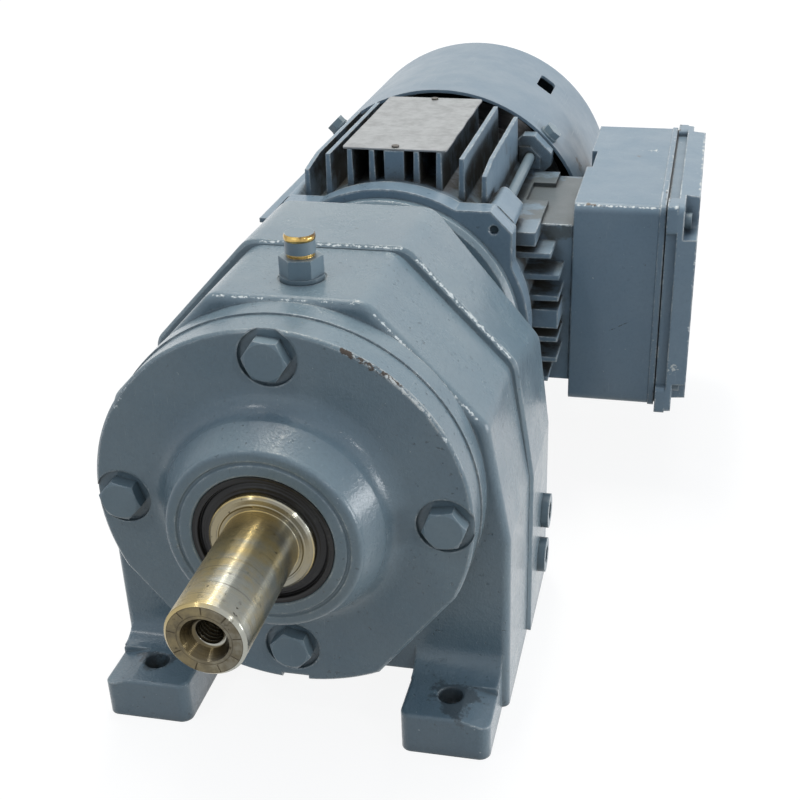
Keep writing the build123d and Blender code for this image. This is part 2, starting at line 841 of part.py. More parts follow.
with BuildPart() as breather_cap:
    cap_radius = breather_thread / 2 + 0.15
    cap_height = breather_ring + breather_band
    with BuildSketch(Plane(origin=(0, breather_y, breather_cap_z), x_dir=(1, 0, 0), z_dir=(0, -1, 0))):
        with BuildLine():
            Polyline((0, cap_height), (0, 0), (cap_radius, 0), (cap_radius, breather_ring))
            ThreePointArc(
                (cap_radius, breather_ring),
                (cap_radius + 0.2, breather_ring + breather_band / 2),
                (cap_radius - 0.3, cap_height),
            )
            Line((cap_radius - 0.3, cap_height), (0, cap_height))
        make_face()
    revolve(axis=Axis((0, breather_y, 0), (0, 0, 1)))
breather_cap.part.label = "breather_cap"
export_step(breather_cap.part, "parts/breather_cap.step")

# Two oil plugs with hexagon sockets in the right wall
with BuildPart() as oil_plugs:
    with BuildSketch(Plane.YZ.offset(rear_waist_x)):
        with Locations(*plug_places):
            Circle(plug_head / 2)
    extrude(amount=plug_head_height)
    with BuildSketch(Plane.YZ.offset(rear_waist_x)):
        with Locations(*plug_places):
            Circle(plug_thread / 2 - seat_gap)
    extrude(amount=-housing_wall)
    with BuildSketch(Plane.YZ.offset(rear_waist_x + plug_head_height)):
        with Locations(*plug_places):
            RegularPolygon(plug_head / 4, 6, major_radius=False)
    extrude(amount=-(plug_head_height + 1.5), mode=Mode.SUBTRACT)
oil_plugs.part.label = "oil_plugs"
export_step(oil_plugs.part, "parts/oil_plugs.step")

# Motor adapter: back plate of the gear housing, neck and disc for the motor flange
plate_back_y = housing_back_y + adapter_plate
adapter_disc_y = motor_y - adapter_disc
input_seal_width = 7.0
flange_screw_circle = 48.5
with BuildPart() as motor_adapter:
    extrude(
        rear_outline(housing_back_y, rear_shoulder_drop, rear_underside, adapter_inset),
        amount=adapter_plate,
        dir=toward_back,
    )
    # The plate's lower corners stand clear of the feet
    with BuildSketch(across(housing_back_y)):
        for side in (-1, 1):
            with Locations((side * (foot_inner_x + foot_width / 2), foot_thickness / 2)):
                Rectangle(foot_width + 2, foot_thickness + 2)
    extrude(amount=-adapter_plate, mode=Mode.SUBTRACT)
    with BuildSketch(across(plate_back_y, shaft_height)):
        Circle(neck_radius)
    extrude(amount=-(motor_y - plate_back_y))
    revolve(
        half_section(
            shaft_height,
            (adapter_disc_y, neck_radius - 1),
            (adapter_disc_y, adapter_disc_radius - adapter_disc_edge),
            (adapter_disc_y + adapter_disc_edge, adapter_disc_radius),
            (motor_y, adapter_disc_radius),
            (motor_y, neck_radius - 1),
        ),
        axis=shaft_axis(shaft_height),
    )
    with BuildSketch(across(plate_back_y, shaft_height)):
        Circle(neck_radius - neck_wall)
    extrude(amount=-(motor_y - plate_back_y), mode=Mode.SUBTRACT)
    # Bore of the input seal, with a lip behind it
    with BuildSketch(across(housing_back_y, shaft_height)):
        Circle(input_seal_outside / 2)
    extrude(amount=-input_seal_width, mode=Mode.SUBTRACT)
    with BuildSketch(across(housing_back_y, shaft_height)):
        Circle(input_seal_outside / 2 - 4)
    extrude(amount=-adapter_plate, mode=Mode.SUBTRACT)
    # Boss that holds the rear bearing of the layshaft
    with BuildSketch(across(layshaft_boss_y, layshaft_height)):
        Circle(layshaft_bearing[1] / 2 + 6)
    extrude(amount=-(housing_back_y - layshaft_boss_y))
    with BuildSketch(across(layshaft_boss_y, layshaft_height)):
        Circle(layshaft_bearing[1] / 2)
    extrude(amount=-layshaft_bearing[2], mode=Mode.SUBTRACT)
    # Screw holes in the plate and in the disc
    with BuildSketch(across(housing_back_y)):
        with Locations(*adapter_screw_places):
            Circle(adapter_screw / 2 + free_gap)
    extrude(amount=-adapter_plate, mode=Mode.SUBTRACT)
    with BuildSketch(across(adapter_disc_y, shaft_height)):
        with PolarLocations(flange_screw_circle, 4):
            Circle(adapter_screw / 2 + free_gap)
    extrude(amount=-adapter_disc, mode=Mode.SUBTRACT)
motor_adapter.part.label = "motor_adapter"
export_step(motor_adapter.part, "parts/motor_adapter.step")

# Socket screws: six through the adapter plate, four from the adapter disc into the motor flange
with BuildPart() as adapter_screws:
    with BuildSketch(across(plate_back_y)):
        with Locations(*adapter_screw_places):
            Circle(adapter_screw_head / 2)
    extrude(amount=-adapter_screw)
    with BuildSketch(across(plate_back_y)):
        with Locations(*adapter_screw_places):
            Circle(adapter_screw / 2 - seat_gap)
    extrude(amount=adapter_plate + 18)
    with BuildSketch(across(plate_back_y + adapter_screw)):
        with Locations(*adapter_screw_places):
            RegularPolygon(adapter_screw / 2.4, 6, major_radius=False)
    extrude(amount=adapter_screw / 2, mode=Mode.SUBTRACT)
adapter_screws.part.label = "adapter_screws"
export_step(adapter_screws.part, "parts/adapter_screws.step")

with BuildPart() as flange_screws:
    with BuildSketch(across(adapter_disc_y, shaft_height)):
        with PolarLocations(flange_screw_circle, 4):
            Circle(adapter_screw_head / 2)
    extrude(amount=adapter_screw)
    with BuildSketch(across(adapter_disc_y, shaft_height)):
        with PolarLocations(flange_screw_circle, 4):
            Circle(adapter_screw / 2 - seat_gap)
    extrude(amount=-(adapter_disc + flange_thickness - 2))
    with BuildSketch(across(adapter_disc_y - adapter_screw, shaft_height)):
        with PolarLocations(flange_screw_circle, 4):
            RegularPolygon(adapter_screw / 2.4, 6, major_radius=False)
    extrude(amount=-adapter_screw / 2, mode=Mode.SUBTRACT)
flange_screws.part.label = "flange_screws"
export_step(flange_screws.part, "parts/flange_screws.step")

# Lip seal between the gear oil and the motor
input_journal = drive_end_bearing[0] / 2
with BuildPart() as input_seal:
    input_case = input_seal_outside / 2 - seat_gap
    input_lip = input_journal + running_gap
    revolve(
        half_section(
            shaft_height,
            (housing_back_y, input_case),
            (housing_back_y + input_seal_width, input_case),
            (housing_back_y + input_seal_width, input_lip + 1.5),
            (housing_back_y + input_seal_width - 2, input_lip),
            (housing_back_y + 2, input_lip),
            (housing_back_y + 2, input_lip + 1.5),
            (housing_back_y + 4.5, input_lip + 1.5),
            (housing_back_y + 4.5, input_case - 1.5),
            (housing_back_y, input_case - 1.5),
        ),
        axis=shaft_axis(shaft_height),
    )
input_seal.part.label = "input_seal"
export_step(input_seal.part, "parts/input_seal.step")

# Rotor shaft, from the input pinion through the motor to the fan
pinion_front_y = input_wheel_y - pinion_overlap
pinion_rear_y = input_wheel_y + input_face + pinion_overlap
pinion_journal = 6.5
hub_journal = rear_end_bearing[0] / 2
fan_journal = 7.0
with BuildPart() as rotor_shaft:
    revolve(
        half_section(
            shaft_height,
            (pinion_front_y - 1, 0),
            (pinion_front_y - 1, pinion_journal - 0.5),
            (pinion_front_y, pinion_journal),
            (pinion_rear_y, pinion_journal),
            (pinion_rear_y, pinion_journal + 2.2),
            (housing_back_y - 4, pinion_journal + 2.2),
            (housing_back_y - 2, input_journal),
            (flange_boss_y, input_journal),
            (flange_boss_y, rotor_shoulder / 2),
            (core_y, rotor_shoulder / 2),
            (core_y, core_journal / 2),
            (core_back_y, core_journal / 2),
            (core_back_y, rotor_shoulder / 2),
            (stator_back_y, rotor_shoulder / 2),
            (stator_back_y, hub_journal),
            (fan_y - 4, hub_journal),
            (fan_y - 4, fan_journal),
            (fan_back_y + 1, fan_journal),
            (fan_back_y + 2, fan_journal - 1),
            (fan_back_y + 2, 0),
        ),
        axis=shaft_axis(shaft_height),
    )
rotor_shaft.part.label = "rotor_shaft"
export_step(rotor_shaft.part, "parts/rotor_shaft.step")

# Input pinion, pressed on the front end of the rotor shaft
with BuildPart() as input_pinion:
    extrude(
        tooth_outline(
            across(pinion_front_y, shaft_height), input_module, input_pinion_teeth, input_shift
        ),
        amount=pinion_rear_y - pinion_front_y,
        dir=toward_back,
    )
    with BuildSketch(across(pinion_front_y, shaft_height)):
        Circle(pinion_journal + seat_gap)
    extrude(amount=-(pinion_rear_y - pinion_front_y), mode=Mode.SUBTRACT)
input_pinion.part.label = "input_pinion"
export_step(input_pinion.part, "parts/input_pinion.step")

# Motor flange: square plate with cut corners, and the seat of the drive-end bearing behind it
with BuildPart() as motor_flange:
    with BuildSketch(across(motor_y, shaft_height)) as flange_face:
        Rectangle(2 * flange_half, 2 * flange_half)
        chamfer(flange_face.vertices(), flange_chamfer)
        Circle(flange_radius)
    extrude(amount=-flange_thickness)
    revolve(
        half_section(
            shaft_height,
            (stator_y - 1, stator_bore - 6),
            (stator_y - 1, stator_bore - running_gap),
            (stator_y + 3, stator_bore - running_gap),
            (stator_y + 3, stator_bore - 6),
        ),
        axis=shaft_axis(shaft_height),
    )
    with BuildSketch(across(stator_y, shaft_height)):
        Circle(drive_end_bearing[1] / 2 + 7)
    extrude(amount=-(flange_boss_y - stator_y))
    with BuildSketch(across(drive_bearing_y, shaft_height)):
        Circle(drive_end_bearing[1] / 2)
    extrude(amount=-drive_end_bearing[2], mode=Mode.SUBTRACT)
    with BuildSketch(across(motor_y, shaft_height)):
        Circle(input_journal + 2)
    extrude(amount=-(drive_bearing_y - motor_y), mode=Mode.SUBTRACT)
    with BuildSketch(across(motor_y, shaft_height)):
        with PolarLocations(tie_rod_circle, 4, start_angle=45):
            Circle(tie_rod_opening / 2)
        with PolarLocations(flange_screw_circle, 4):
            Circle(adapter_screw / 2)
    extrude(amount=-flange_thickness, mode=Mode.SUBTRACT)
    with BuildSketch(across(tie_rod_y, shaft_height)):
        with PolarLocations(tie_rod_circle, 4, start_angle=45):
            Circle(tie_rod / 2)
    extrude(amount=-(stator_y - tie_rod_y), mode=Mode.SUBTRACT)
motor_flange.part.label = "motor_flange"
export_step(motor_flange.part, "parts/motor_flange.step")

# Finned stator housing. A row of fins is drawn pointing up, on a plane turned about the motor axis
fin_y = motor_y + fin_start
pad_y = motor_y + pad_start
top_fins = (fin_top, fin_top, fin_top, fin_top - 2.4, fin_top - 7.0)
side_fins = (fin_side, fin_side, fin_side, fin_side - 3.7, fin_side - 9.0)


def fin_row(plane, reaches, steps):
    """Fins either side of a wider middle fin; each one's foot is sunk in the round wall."""
    with BuildSketch(plane) as row:
        for step in steps:
            offset_x = step * fin_pitch
            foot = sqrt(stator_radius**2 - offset_x**2) - 2
            height = reaches[abs(step)] - foot
            with Locations((offset_x, foot + height / 2)):
                if step == 0:
                    Rectangle(centre_fin, height)
                else:
                    Trapezoid(fin_root, height, fin_angle)
    return row.sketch


with BuildPart() as stator_housing:
    with BuildSketch(across(stator_y, shaft_height)):
        Circle(stator_radius)
    extrude(amount=-stator_length)
    every_fin = range(-4, 5)
    fin_length = stator_back_y - fin_y
    for turn, reaches in ((0, top_fins), (90, side_fins), (180, top_fins)):
        extrude(fin_row(across(fin_y, shaft_height, turn), reaches, every_fin), amount=-fin_length)
    # On the right the middle fins end at the pad that carries the terminal box
    extrude(fin_row(across(fin_y, shaft_height, -90), side_fins, range(-3, 4)), amount=-(pad_y - fin_y))
    with BuildSketch(across(pad_y, shaft_height)):
        with Locations((pad_x - 20, 0)):
            Rectangle(40, 2 * pad_half)
    extrude(amount=-(stator_back_y - pad_y))
    # Thick outer ribs beside the pad, each with a low stretch in the middle
    for side in (-1, 1):
        with BuildSketch(across(fin_y, shaft_height)):
            with Locations(((stator_radius + side_fins[4]) / 2 - 8, side * (pad_half - 1))):
                Rectangle(stator_radius - 43, 6)
        extrude(amount=-fin_length)
        with BuildSketch(across(fin_y + 44.3, shaft_height)):
            with Locations((side_fins[4], side * (pad_half + 2))):
                Rectangle(2 * (side_fins[4] - 50), 4)
        extrude(amount=-26, mode=Mode.SUBTRACT)
    # Corner lugs that guide the tie rods
    with BuildSketch(across(stator_y, shaft_height)):
        with PolarLocations((50 + lug_reach) / 2, 4, start_angle=45):
            RectangleRounded(lug_reach - 50, lug_width, 3)
    extrude(amount=-(motor_y + lug_end - stator_y))
    # Outer top fins are bevelled at the front
    outer_fin_z = shaft_height + top_fins[4]
    for bevel_x in (-5 * fin_pitch, 3.5 * fin_pitch):
        with BuildSketch(Plane.YZ.offset(bevel_x)):
            with BuildLine():
                Polyline(
                    (fin_y - 1, outer_fin_z - 2.6),
                    (fin_y + 18, outer_fin_z),
                    (fin_y + 18, outer_fin_z + 1),
                    (fin_y - 1, outer_fin_z + 1),
                    close=True,
                )
            make_face()
        extrude(amount=1.5 * fin_pitch, mode=Mode.SUBTRACT)
    # Bore for the core, tie-rod holes and the opening for the leads
    with BuildSketch(across(stator_y, shaft_height)):
        Circle(stator_bore)
        with PolarLocations(tie_rod_circle, 4, start_angle=45):
            Circle(tie_rod / 2 + free_gap)
    extrude(amount=-stator_length, mode=Mode.SUBTRACT)
    with BuildSketch(Plane.YZ.offset(pad_x)):
        with Locations(((pad_y + stator_back_y) / 2, shaft_height)):
            Circle(lead_hole / 2)
    extrude(amount=-(pad_x - 40), mode=Mode.SUBTRACT)
stator_housing.part.label = "stator_housing"
export_step(stator_housing.part, "parts/stator_housing.step")

# Laminated core with open slots, and the winding that fills them
with BuildPart() as stator_core:
    core_bore = rotor_radius + air_gap
    with BuildSketch(across(core_y, shaft_height)):
        Circle(stator_bore - seat_gap)
        Circle(core_bore, mode=Mode.SUBTRACT)
        with PolarLocations(core_bore + slot_depth / 2, slot_count):
            Rectangle(slot_depth + 1, slot_width, mode=Mode.SUBTRACT)
    extrude(amount=-core_length)
stator_core.part.label = "stator_core"
export_step(stator_core.part, "parts/stator_core.step")

with BuildPart() as stator_windings:
    winding_inner = core_bore + 1.5
    winding_outer = core_bore + slot_depth + 4.5
    with BuildSketch(across(core_y, shaft_height)):
        with PolarLocations(core_bore + slot_depth / 2 + 0.5, slot_count):
            Rectangle(slot_depth - 1.5, slot_width - 2 * free_gap)
    extrude(amount=-core_length)
    for winding_y in (core_y - winding_overhang, core_back_y):
        with BuildSketch(across(winding_y, shaft_height)):
            Circle(winding_outer)
            Circle(winding_inner, mode=Mode.SUBTRACT)
        extrude(amount=-winding_overhang)
stator_windings.part.label = "stator_windings"
export_step(stator_windings.part, "parts/stator_windings.step")

# Cage rotor with its end rings
with BuildPart() as rotor_core:
    end_ring = 6.0
    revolve(
        half_section(
            shaft_height,
            (core_y, core_journal / 2 + seat_gap),
            (core_y, rotor_radius - 12),
            (core_y - end_ring, rotor_radius - 12),
            (core_y - end_ring, rotor_radius - 3),
            (core_y, rotor_radius - 3),
            (core_y, rotor_radius),
            (core_back_y, rotor_radius),
            (core_back_y, rotor_radius - 3),
            (core_back_y + end_ring, rotor_radius - 3),
            (core_back_y + end_ring, rotor_radius - 12),
            (core_back_y, rotor_radius - 12),
            (core_back_y, core_journal / 2 + seat_gap),
        ),
        axis=shaft_axis(shaft_height),
    )
rotor_core.part.label = "rotor_core"
export_step(rotor_core.part, "parts/rotor_core.step")


def radial_plane(y, angle, distance):
    """Plane square to a radius of the motor, at a station, an angle from +X and a distance."""
    outward = Vector(cos(radians(angle)), 0, sin(radians(angle)))
    origin = Vector(0, y, shaft_height) + outward * distance
    return Plane(origin=origin, x_dir=(0, 1, 0), z_dir=outward)


# Rear shield: bearing seat, friction face of the brake, tie-rod ears and fingers for the guard
corner_angles = (45, 135, 225, 315)
finger_reach = guard_radius - guard_sheet - 0.1
finger_back_y = shield_back_y + 13.0
guard_screw_y = (guard_y + finger_back_y) / 2
with BuildPart() as rear_shield:
    with BuildSketch(across(stator_back_y, shaft_height)) as shield_face:
        with PolarLocations((50 + ear_reach) / 2, 4, start_angle=45):
            Rectangle(ear_reach - 50, ear_width)
        chamfer(shield_face.vertices(), ear_chamfer)
        Circle(stator_radius)
    extrude(amount=-shield_plate)
    # Raised hood on each ear, clear of the outer fins and of the round wall
    outer_fin = 4 * fin_pitch + fin_root / 2 + free_gap
    with BuildSketch(across(stator_back_y, shaft_height)) as hood_face:
        with PolarLocations((50 + hood_reach) / 2, 4, start_angle=45):
            Rectangle(hood_reach - 50, hood_width)
        chamfer(hood_face.vertices(), ear_chamfer)
        Rectangle(2 * outer_fin, 2 * guard_radius, mode=Mode.SUBTRACT)
        Rectangle(2 * guard_radius, 2 * outer_fin, mode=Mode.SUBTRACT)
        Circle(stator_radius + free_gap, mode=Mode.SUBTRACT)
    extrude(amount=hood_height)
    with BuildSketch(across(shield_back_y, shaft_height)):
        Circle(friction_radius)
    extrude(amount=-(friction_y - shield_back_y))
    with BuildSketch(across(shield_back_y - 1, shaft_height)):
        with PolarLocations((finger_reach + finger_root) / 2, 4, start_angle=45):
            Rectangle(finger_reach - finger_root, finger_width)
        Circle(finger_reach, mode=Mode.INTERSECT)
    extrude(amount=-(finger_back_y - shield_back_y + 1))
    with BuildSketch(across(stator_back_y, shaft_height)):
        Circle(rear_end_bearing[1] / 2)
    extrude(amount=-rear_end_bearing[2], mode=Mode.SUBTRACT)
    with BuildSketch(across(stator_back_y - hood_height, shaft_height)):
        Circle(hub_journal + 1.5)
        with PolarLocations(tie_rod_circle, 4, start_angle=45):
            Circle(tie_rod / 2 + free_gap)
    extrude(amount=-(friction_boss + hood_height), mode=Mode.SUBTRACT)
    with BuildSketch(across(friction_y, shaft_height)):
        with PolarLocations(brake_bolt_circle, 3, start_angle=90):
            Circle(brake_bolt / 2)
    extrude(amount=10, mode=Mode.SUBTRACT)
    for angle in corner_angles:
        with BuildSketch(radial_plane(guard_screw_y, angle, finger_reach + 1)):
            Circle(guard_screw / 2)
        extrude(amount=-6, mode=Mode.SUBTRACT)
rear_shield.part.label = "rear_shield"
export_step(rear_shield.part, "parts/rear_shield.step")

# Four tie rods hold the motor together; their heads bear on the ears of the rear shield
with BuildPart() as tie_rods:
    with BuildSketch(across(tie_rod_y, shaft_height)):
        with PolarLocations(tie_rod_circle, 4, start_angle=45):
            Circle(tie_rod / 2 - seat_gap)
    extrude(amount=-(shield_back_y - tie_rod_y))
    with BuildSketch(across(shield_back_y, shaft_height)):
        with PolarLocations(tie_rod_circle, 4, start_angle=45):
            RegularPolygon(tie_rod * 0.8, 6, major_radius=False)
    extrude(amount=-tie_rod * 0.7)
tie_rods.part.label = "tie_rods"
export_step(tie_rods.part, "parts/tie_rods.step")

# Brake: hub on the rotor shaft, lining disc on the hub, armature plate, magnet, coil and bolts
hub_across = 26.0
hub_y = friction_y + 1
hub_length = brake_disc_thickness + 2
armature_bore = 40.0
magnet_bore = 28.0
coil_inner = 24.0
coil_outer = 42.0
coil_depth = 16.0
with BuildPart() as brake_hub:
    with BuildSketch(across(hub_y, shaft_height)):
        RegularPolygon(hub_across / 2, 6, major_radius=False)
        Circle(hub_journal + seat_gap, mode=Mode.SUBTRACT)
    extrude(amount=-hub_length)
brake_hub.part.label = "brake_hub"
export_step(brake_hub.part, "parts/brake_hub.step")

with BuildPart() as brake_disc:
    with BuildSketch(across(friction_y + running_gap, shaft_height)):
        Circle(brake_disc_radius)
        RegularPolygon(hub_across / 2 + running_gap, 6, major_radius=False, mode=Mode.SUBTRACT)
    extrude(amount=-brake_disc_thickness)
brake_disc.part.label = "brake_disc"
export_step(brake_disc.part, "parts/brake_disc.step")

with BuildPart() as brake_armature:
    with BuildSketch(across(armature_y, shaft_height)):
        Circle(magnet_radius - 1)
        Circle(armature_bore / 2, mode=Mode.SUBTRACT)
        with PolarLocations(brake_bolt_circle, 3, start_angle=90):
            Circle(brake_bolt / 2 + free_gap, mode=Mode.SUBTRACT)
    extrude(amount=-armature_thickness)
brake_armature.part.label = "brake_armature"
export_step(brake_armature.part, "parts/brake_armature.step")

with BuildPart() as brake_magnet:
    with BuildSketch(across(magnet_y, shaft_height)):
        Circle(magnet_radius)
        Circle(magnet_bore / 2, mode=Mode.SUBTRACT)
        with PolarLocations(brake_bolt_circle, 3, start_angle=90):
            Circle(brake_bolt / 2, mode=Mode.SUBTRACT)
    extrude(amount=-magnet_length)
    with BuildSketch(across(magnet_y, shaft_height)):
        Circle(coil_outer)
        Circle(coil_inner, mode=Mode.SUBTRACT)
    extrude(amount=-coil_depth, mode=Mode.SUBTRACT)
brake_magnet.part.label = "brake_magnet"
export_step(brake_magnet.part, "parts/brake_magnet.step")

with BuildPart() as brake_coil:
    with BuildSketch(across(magnet_y + coil_depth, shaft_height)):
        Circle(coil_outer - seat_gap)
        Circle(coil_inner + seat_gap, mode=Mode.SUBTRACT)
    extrude(amount=coil_depth - 1)
brake_coil.part.label = "brake_coil"
export_step(brake_coil.part, "parts/brake_coil.step")

with BuildPart() as brake_bolts:
    with BuildSketch(across(friction_y - 9, shaft_height)):
        with PolarLocations(brake_bolt_circle, 3, start_angle=90):
            Circle(brake_bolt / 2 - seat_gap)
    extrude(amount=-(magnet_back_y - friction_y + 9))
    with BuildSketch(across(magnet_back_y, shaft_height)):
        with PolarLocations(brake_bolt_circle, 3, start_angle=90):
            RegularPolygon(brake_bolt * 0.8, 6, major_radius=False)
    extrude(amount=-brake_bolt * 0.7)
brake_bolts.part.label = "brake_bolts"
export_step(brake_bolts.part, "parts/brake_bolts.step")

# Fan with straight blades, because the motor turns both ways
with BuildPart() as fan:
    fan_hub = fan_journal + 6
    blade_thickness = 2.2
    with BuildSketch(across(fan_y, shaft_height)):
        Circle(fan_radius - 3)
    extrude(amount=-2)
    with BuildSketch(across(fan_y, shaft_height)):
        Circle(fan_hub)
    extrude(amount=-fan_depth)
    with BuildSketch(across(fan_y + 2, shaft_height)):
        with PolarLocations((fan_hub - 1 + fan_radius) / 2, fan_blades):
            Rectangle(fan_radius - fan_hub + 1, blade_thickness)
    extrude(amount=-(fan_depth - 2))
    with BuildSketch(across(fan_y, shaft_height)):
        Circle(fan_journal + seat_gap)
    extrude(amount=-fan_depth, mode=Mode.SUBTRACT)
fan.part.label = "fan"
export_step(fan.part, "parts/fan.step")

# Sheet-metal fan guard with a grille at the back and a slot for the brake release lever
slot_angle = 55.0
slot_start = 63.3
slot_length = 22.0
slot_height = 9.2
grille_rings = (56.0, 46.0, 36.0, 26.0, 16.0)
grille_gap = 5.0
grille_bar = 7.0
with BuildPart() as fan_guard:
    corner_y = guard_back_y - guard_corner
    with BuildSketch(Plane(origin=(0, 0, shaft_height), x_dir=(0, 1, 0), z_dir=(1, 0, 0))):
        with BuildLine():
            Line((guard_y, guard_radius), (corner_y, guard_radius))
            CenterArc((corner_y, guard_radius - guard_corner), guard_corner, 90, -90)
            Polyline(
                (guard_back_y, guard_radius - guard_corner),
                (guard_back_y, 0),
                (guard_back_y - guard_sheet, 0),
                (guard_back_y - guard_sheet, guard_radius - guard_corner),
            )
            CenterArc((corner_y, guard_radius - guard_corner), guard_corner - guard_sheet, 0, 90)
            Polyline(
                (corner_y, guard_radius - guard_sheet),
                (guard_y, guard_radius - guard_sheet),
                (guard_y, guard_radius),
            )
        make_face()
    revolve(axis=shaft_axis(shaft_height))
    with BuildSketch(across(guard_back_y, shaft_height)):
        for ring in grille_rings:
            Circle(ring + grille_gap / 2)
            Circle(ring - grille_gap / 2, mode=Mode.SUBTRACT)
        with Locations(Location((0, 0), 45)):
            Rectangle(2 * guard_radius, grille_bar, mode=Mode.SUBTRACT)
            Rectangle(grille_bar, 2 * guard_radius, mode=Mode.SUBTRACT)
    extrude(amount=guard_sheet, mode=Mode.SUBTRACT)
    with BuildSketch(radial_plane(guard_y + slot_start + slot_length / 2, slot_angle, guard_radius + 2)):
        RectangleRounded(slot_length, slot_height, 2)
    extrude(amount=-8, mode=Mode.SUBTRACT)
    for angle in corner_angles:
        with BuildSketch(radial_plane(guard_screw_y, angle, guard_radius + 1)):
            Circle(guard_screw / 2 + free_gap)
        extrude(amount=-5, mode=Mode.SUBTRACT)
fan_guard.part.label = "fan_guard"
export_step(fan_guard.part, "parts/fan_guard.step")

# Flanged hexagon screws hold the guard
with BuildPart() as guard_screws:
    for angle in corner_angles:
        with BuildSketch(radial_plane(guard_screw_y, angle, guard_radius)):
            Circle(guard_screw_across / 2 + 0.8)
        extrude(amount=1)
        with BuildSketch(radial_plane(guard_screw_y, angle, guard_radius + 1)):
            RegularPolygon(guard_screw_across / 2, 6, major_radius=False)
        extrude(amount=3.2)
        with BuildSketch(radial_plane(guard_screw_y, angle, guard_radius)):
            Circle(guard_screw / 2 - seat_gap)
        extrude(amount=-5)
guard_screws.part.label = "guard_screws"
export_step(guard_screws.part, "parts/guard_screws.step")

# Terminal box on the right, open to the outside; sketches lie on planes square to X
box_middle_y = box_front_y + box_length / 2
box_middle_z = box_bottom + box_height / 2
box_screw_inset = 8.5
box_screw_y = box_length / 2 - box_screw_inset
box_screw_z = box_height / 2 - box_screw_inset
box_screw_places = [
    (box_middle_y + side_y * box_screw_y, box_middle_z + side_z * box_screw_z)
    for side_y in (-1, 1)
    for side_z in (-1, 1)
]
lead_y = (pad_y + stator_back_y) / 2
entry_stations = (box_front_y + box_length - entry_inset, box_front_y + entry_inset)
entry_places = [(pad_x + box_depth / 2, station) for station in entry_stations]
with BuildPart() as terminal_box_base:
    with BuildSketch(Plane.YZ.offset(pad_x)):
        with Locations((box_middle_y, box_middle_z)):
            RectangleRounded(box_length, box_height, box_corner)
    extrude(amount=box_depth)
    # Lip along the joint with the lid
    with BuildSketch(Plane.YZ.offset(box_face_x - box_lip_width)):
        with Locations((box_middle_y, box_middle_z)):
            RectangleRounded(box_length + 2 * box_lip, box_height + 2 * box_lip, box_corner)
    extrude(amount=box_lip_width)
    with BuildSketch(Plane.YZ.offset(pad_x + box_wall)):
        with Locations((box_middle_y, box_middle_z)):
            RectangleRounded(box_length - 2 * box_wall, box_height - 2 * box_wall, box_corner)
    extrude(amount=box_depth - box_wall, mode=Mode.SUBTRACT)
    # Pillars for the lid screws, grown into the corners
    with BuildSketch(Plane.YZ.offset(pad_x + box_wall)):
        with Locations(*box_screw_places):
            Rectangle(2 * box_screw_inset - box_wall, 2 * box_screw_inset - box_wall)
    extrude(amount=box_depth - box_wall)
    with BuildSketch(Plane.YZ.offset(box_face_x)):
        with Locations(*box_screw_places):
            Circle(guard_screw / 2)
    extrude(amount=-20, mode=Mode.SUBTRACT)
    # Opening to the pad, and cable entries in the underside
    with BuildSketch(Plane.YZ.offset(pad_x)):
        with Locations((lead_y, shaft_height)):
            Circle(lead_hole / 2)
    extrude(amount=box_wall, mode=Mode.SUBTRACT)
    with BuildSketch(Plane.XY.offset(box_bottom)):
        with Locations(*entry_places):
            Circle(entry_thread / 2)
    extrude(amount=box_wall, mode=Mode.SUBTRACT)
    # Relief on the inner upper edge, behind the pad
    with BuildSketch(Plane.XY.offset(box_bottom + box_height)):
        with Locations((pad_x, stator_back_y - 4)):
            Rectangle(5, 26)
    extrude(amount=-9, mode=Mode.SUBTRACT)
terminal_box_base.part.label = "terminal_box_base"
export_step(terminal_box_base.part, "parts/terminal_box_base.step")

with BuildPart() as terminal_box_gasket:
    with BuildSketch(Plane.YZ.offset(box_face_x)):
        with Locations((box_middle_y, box_middle_z)):
            RectangleRounded(box_length - 1, box_height - 1, box_corner)
            RectangleRounded(
                box_length - 2 * box_wall, box_height - 2 * box_wall, box_corner, mode=Mode.SUBTRACT
            )
    extrude(amount=gasket_thickness)
terminal_box_gasket.part.label = "terminal_box_gasket"
export_step(terminal_box_gasket.part, "parts/terminal_box_gasket.step")

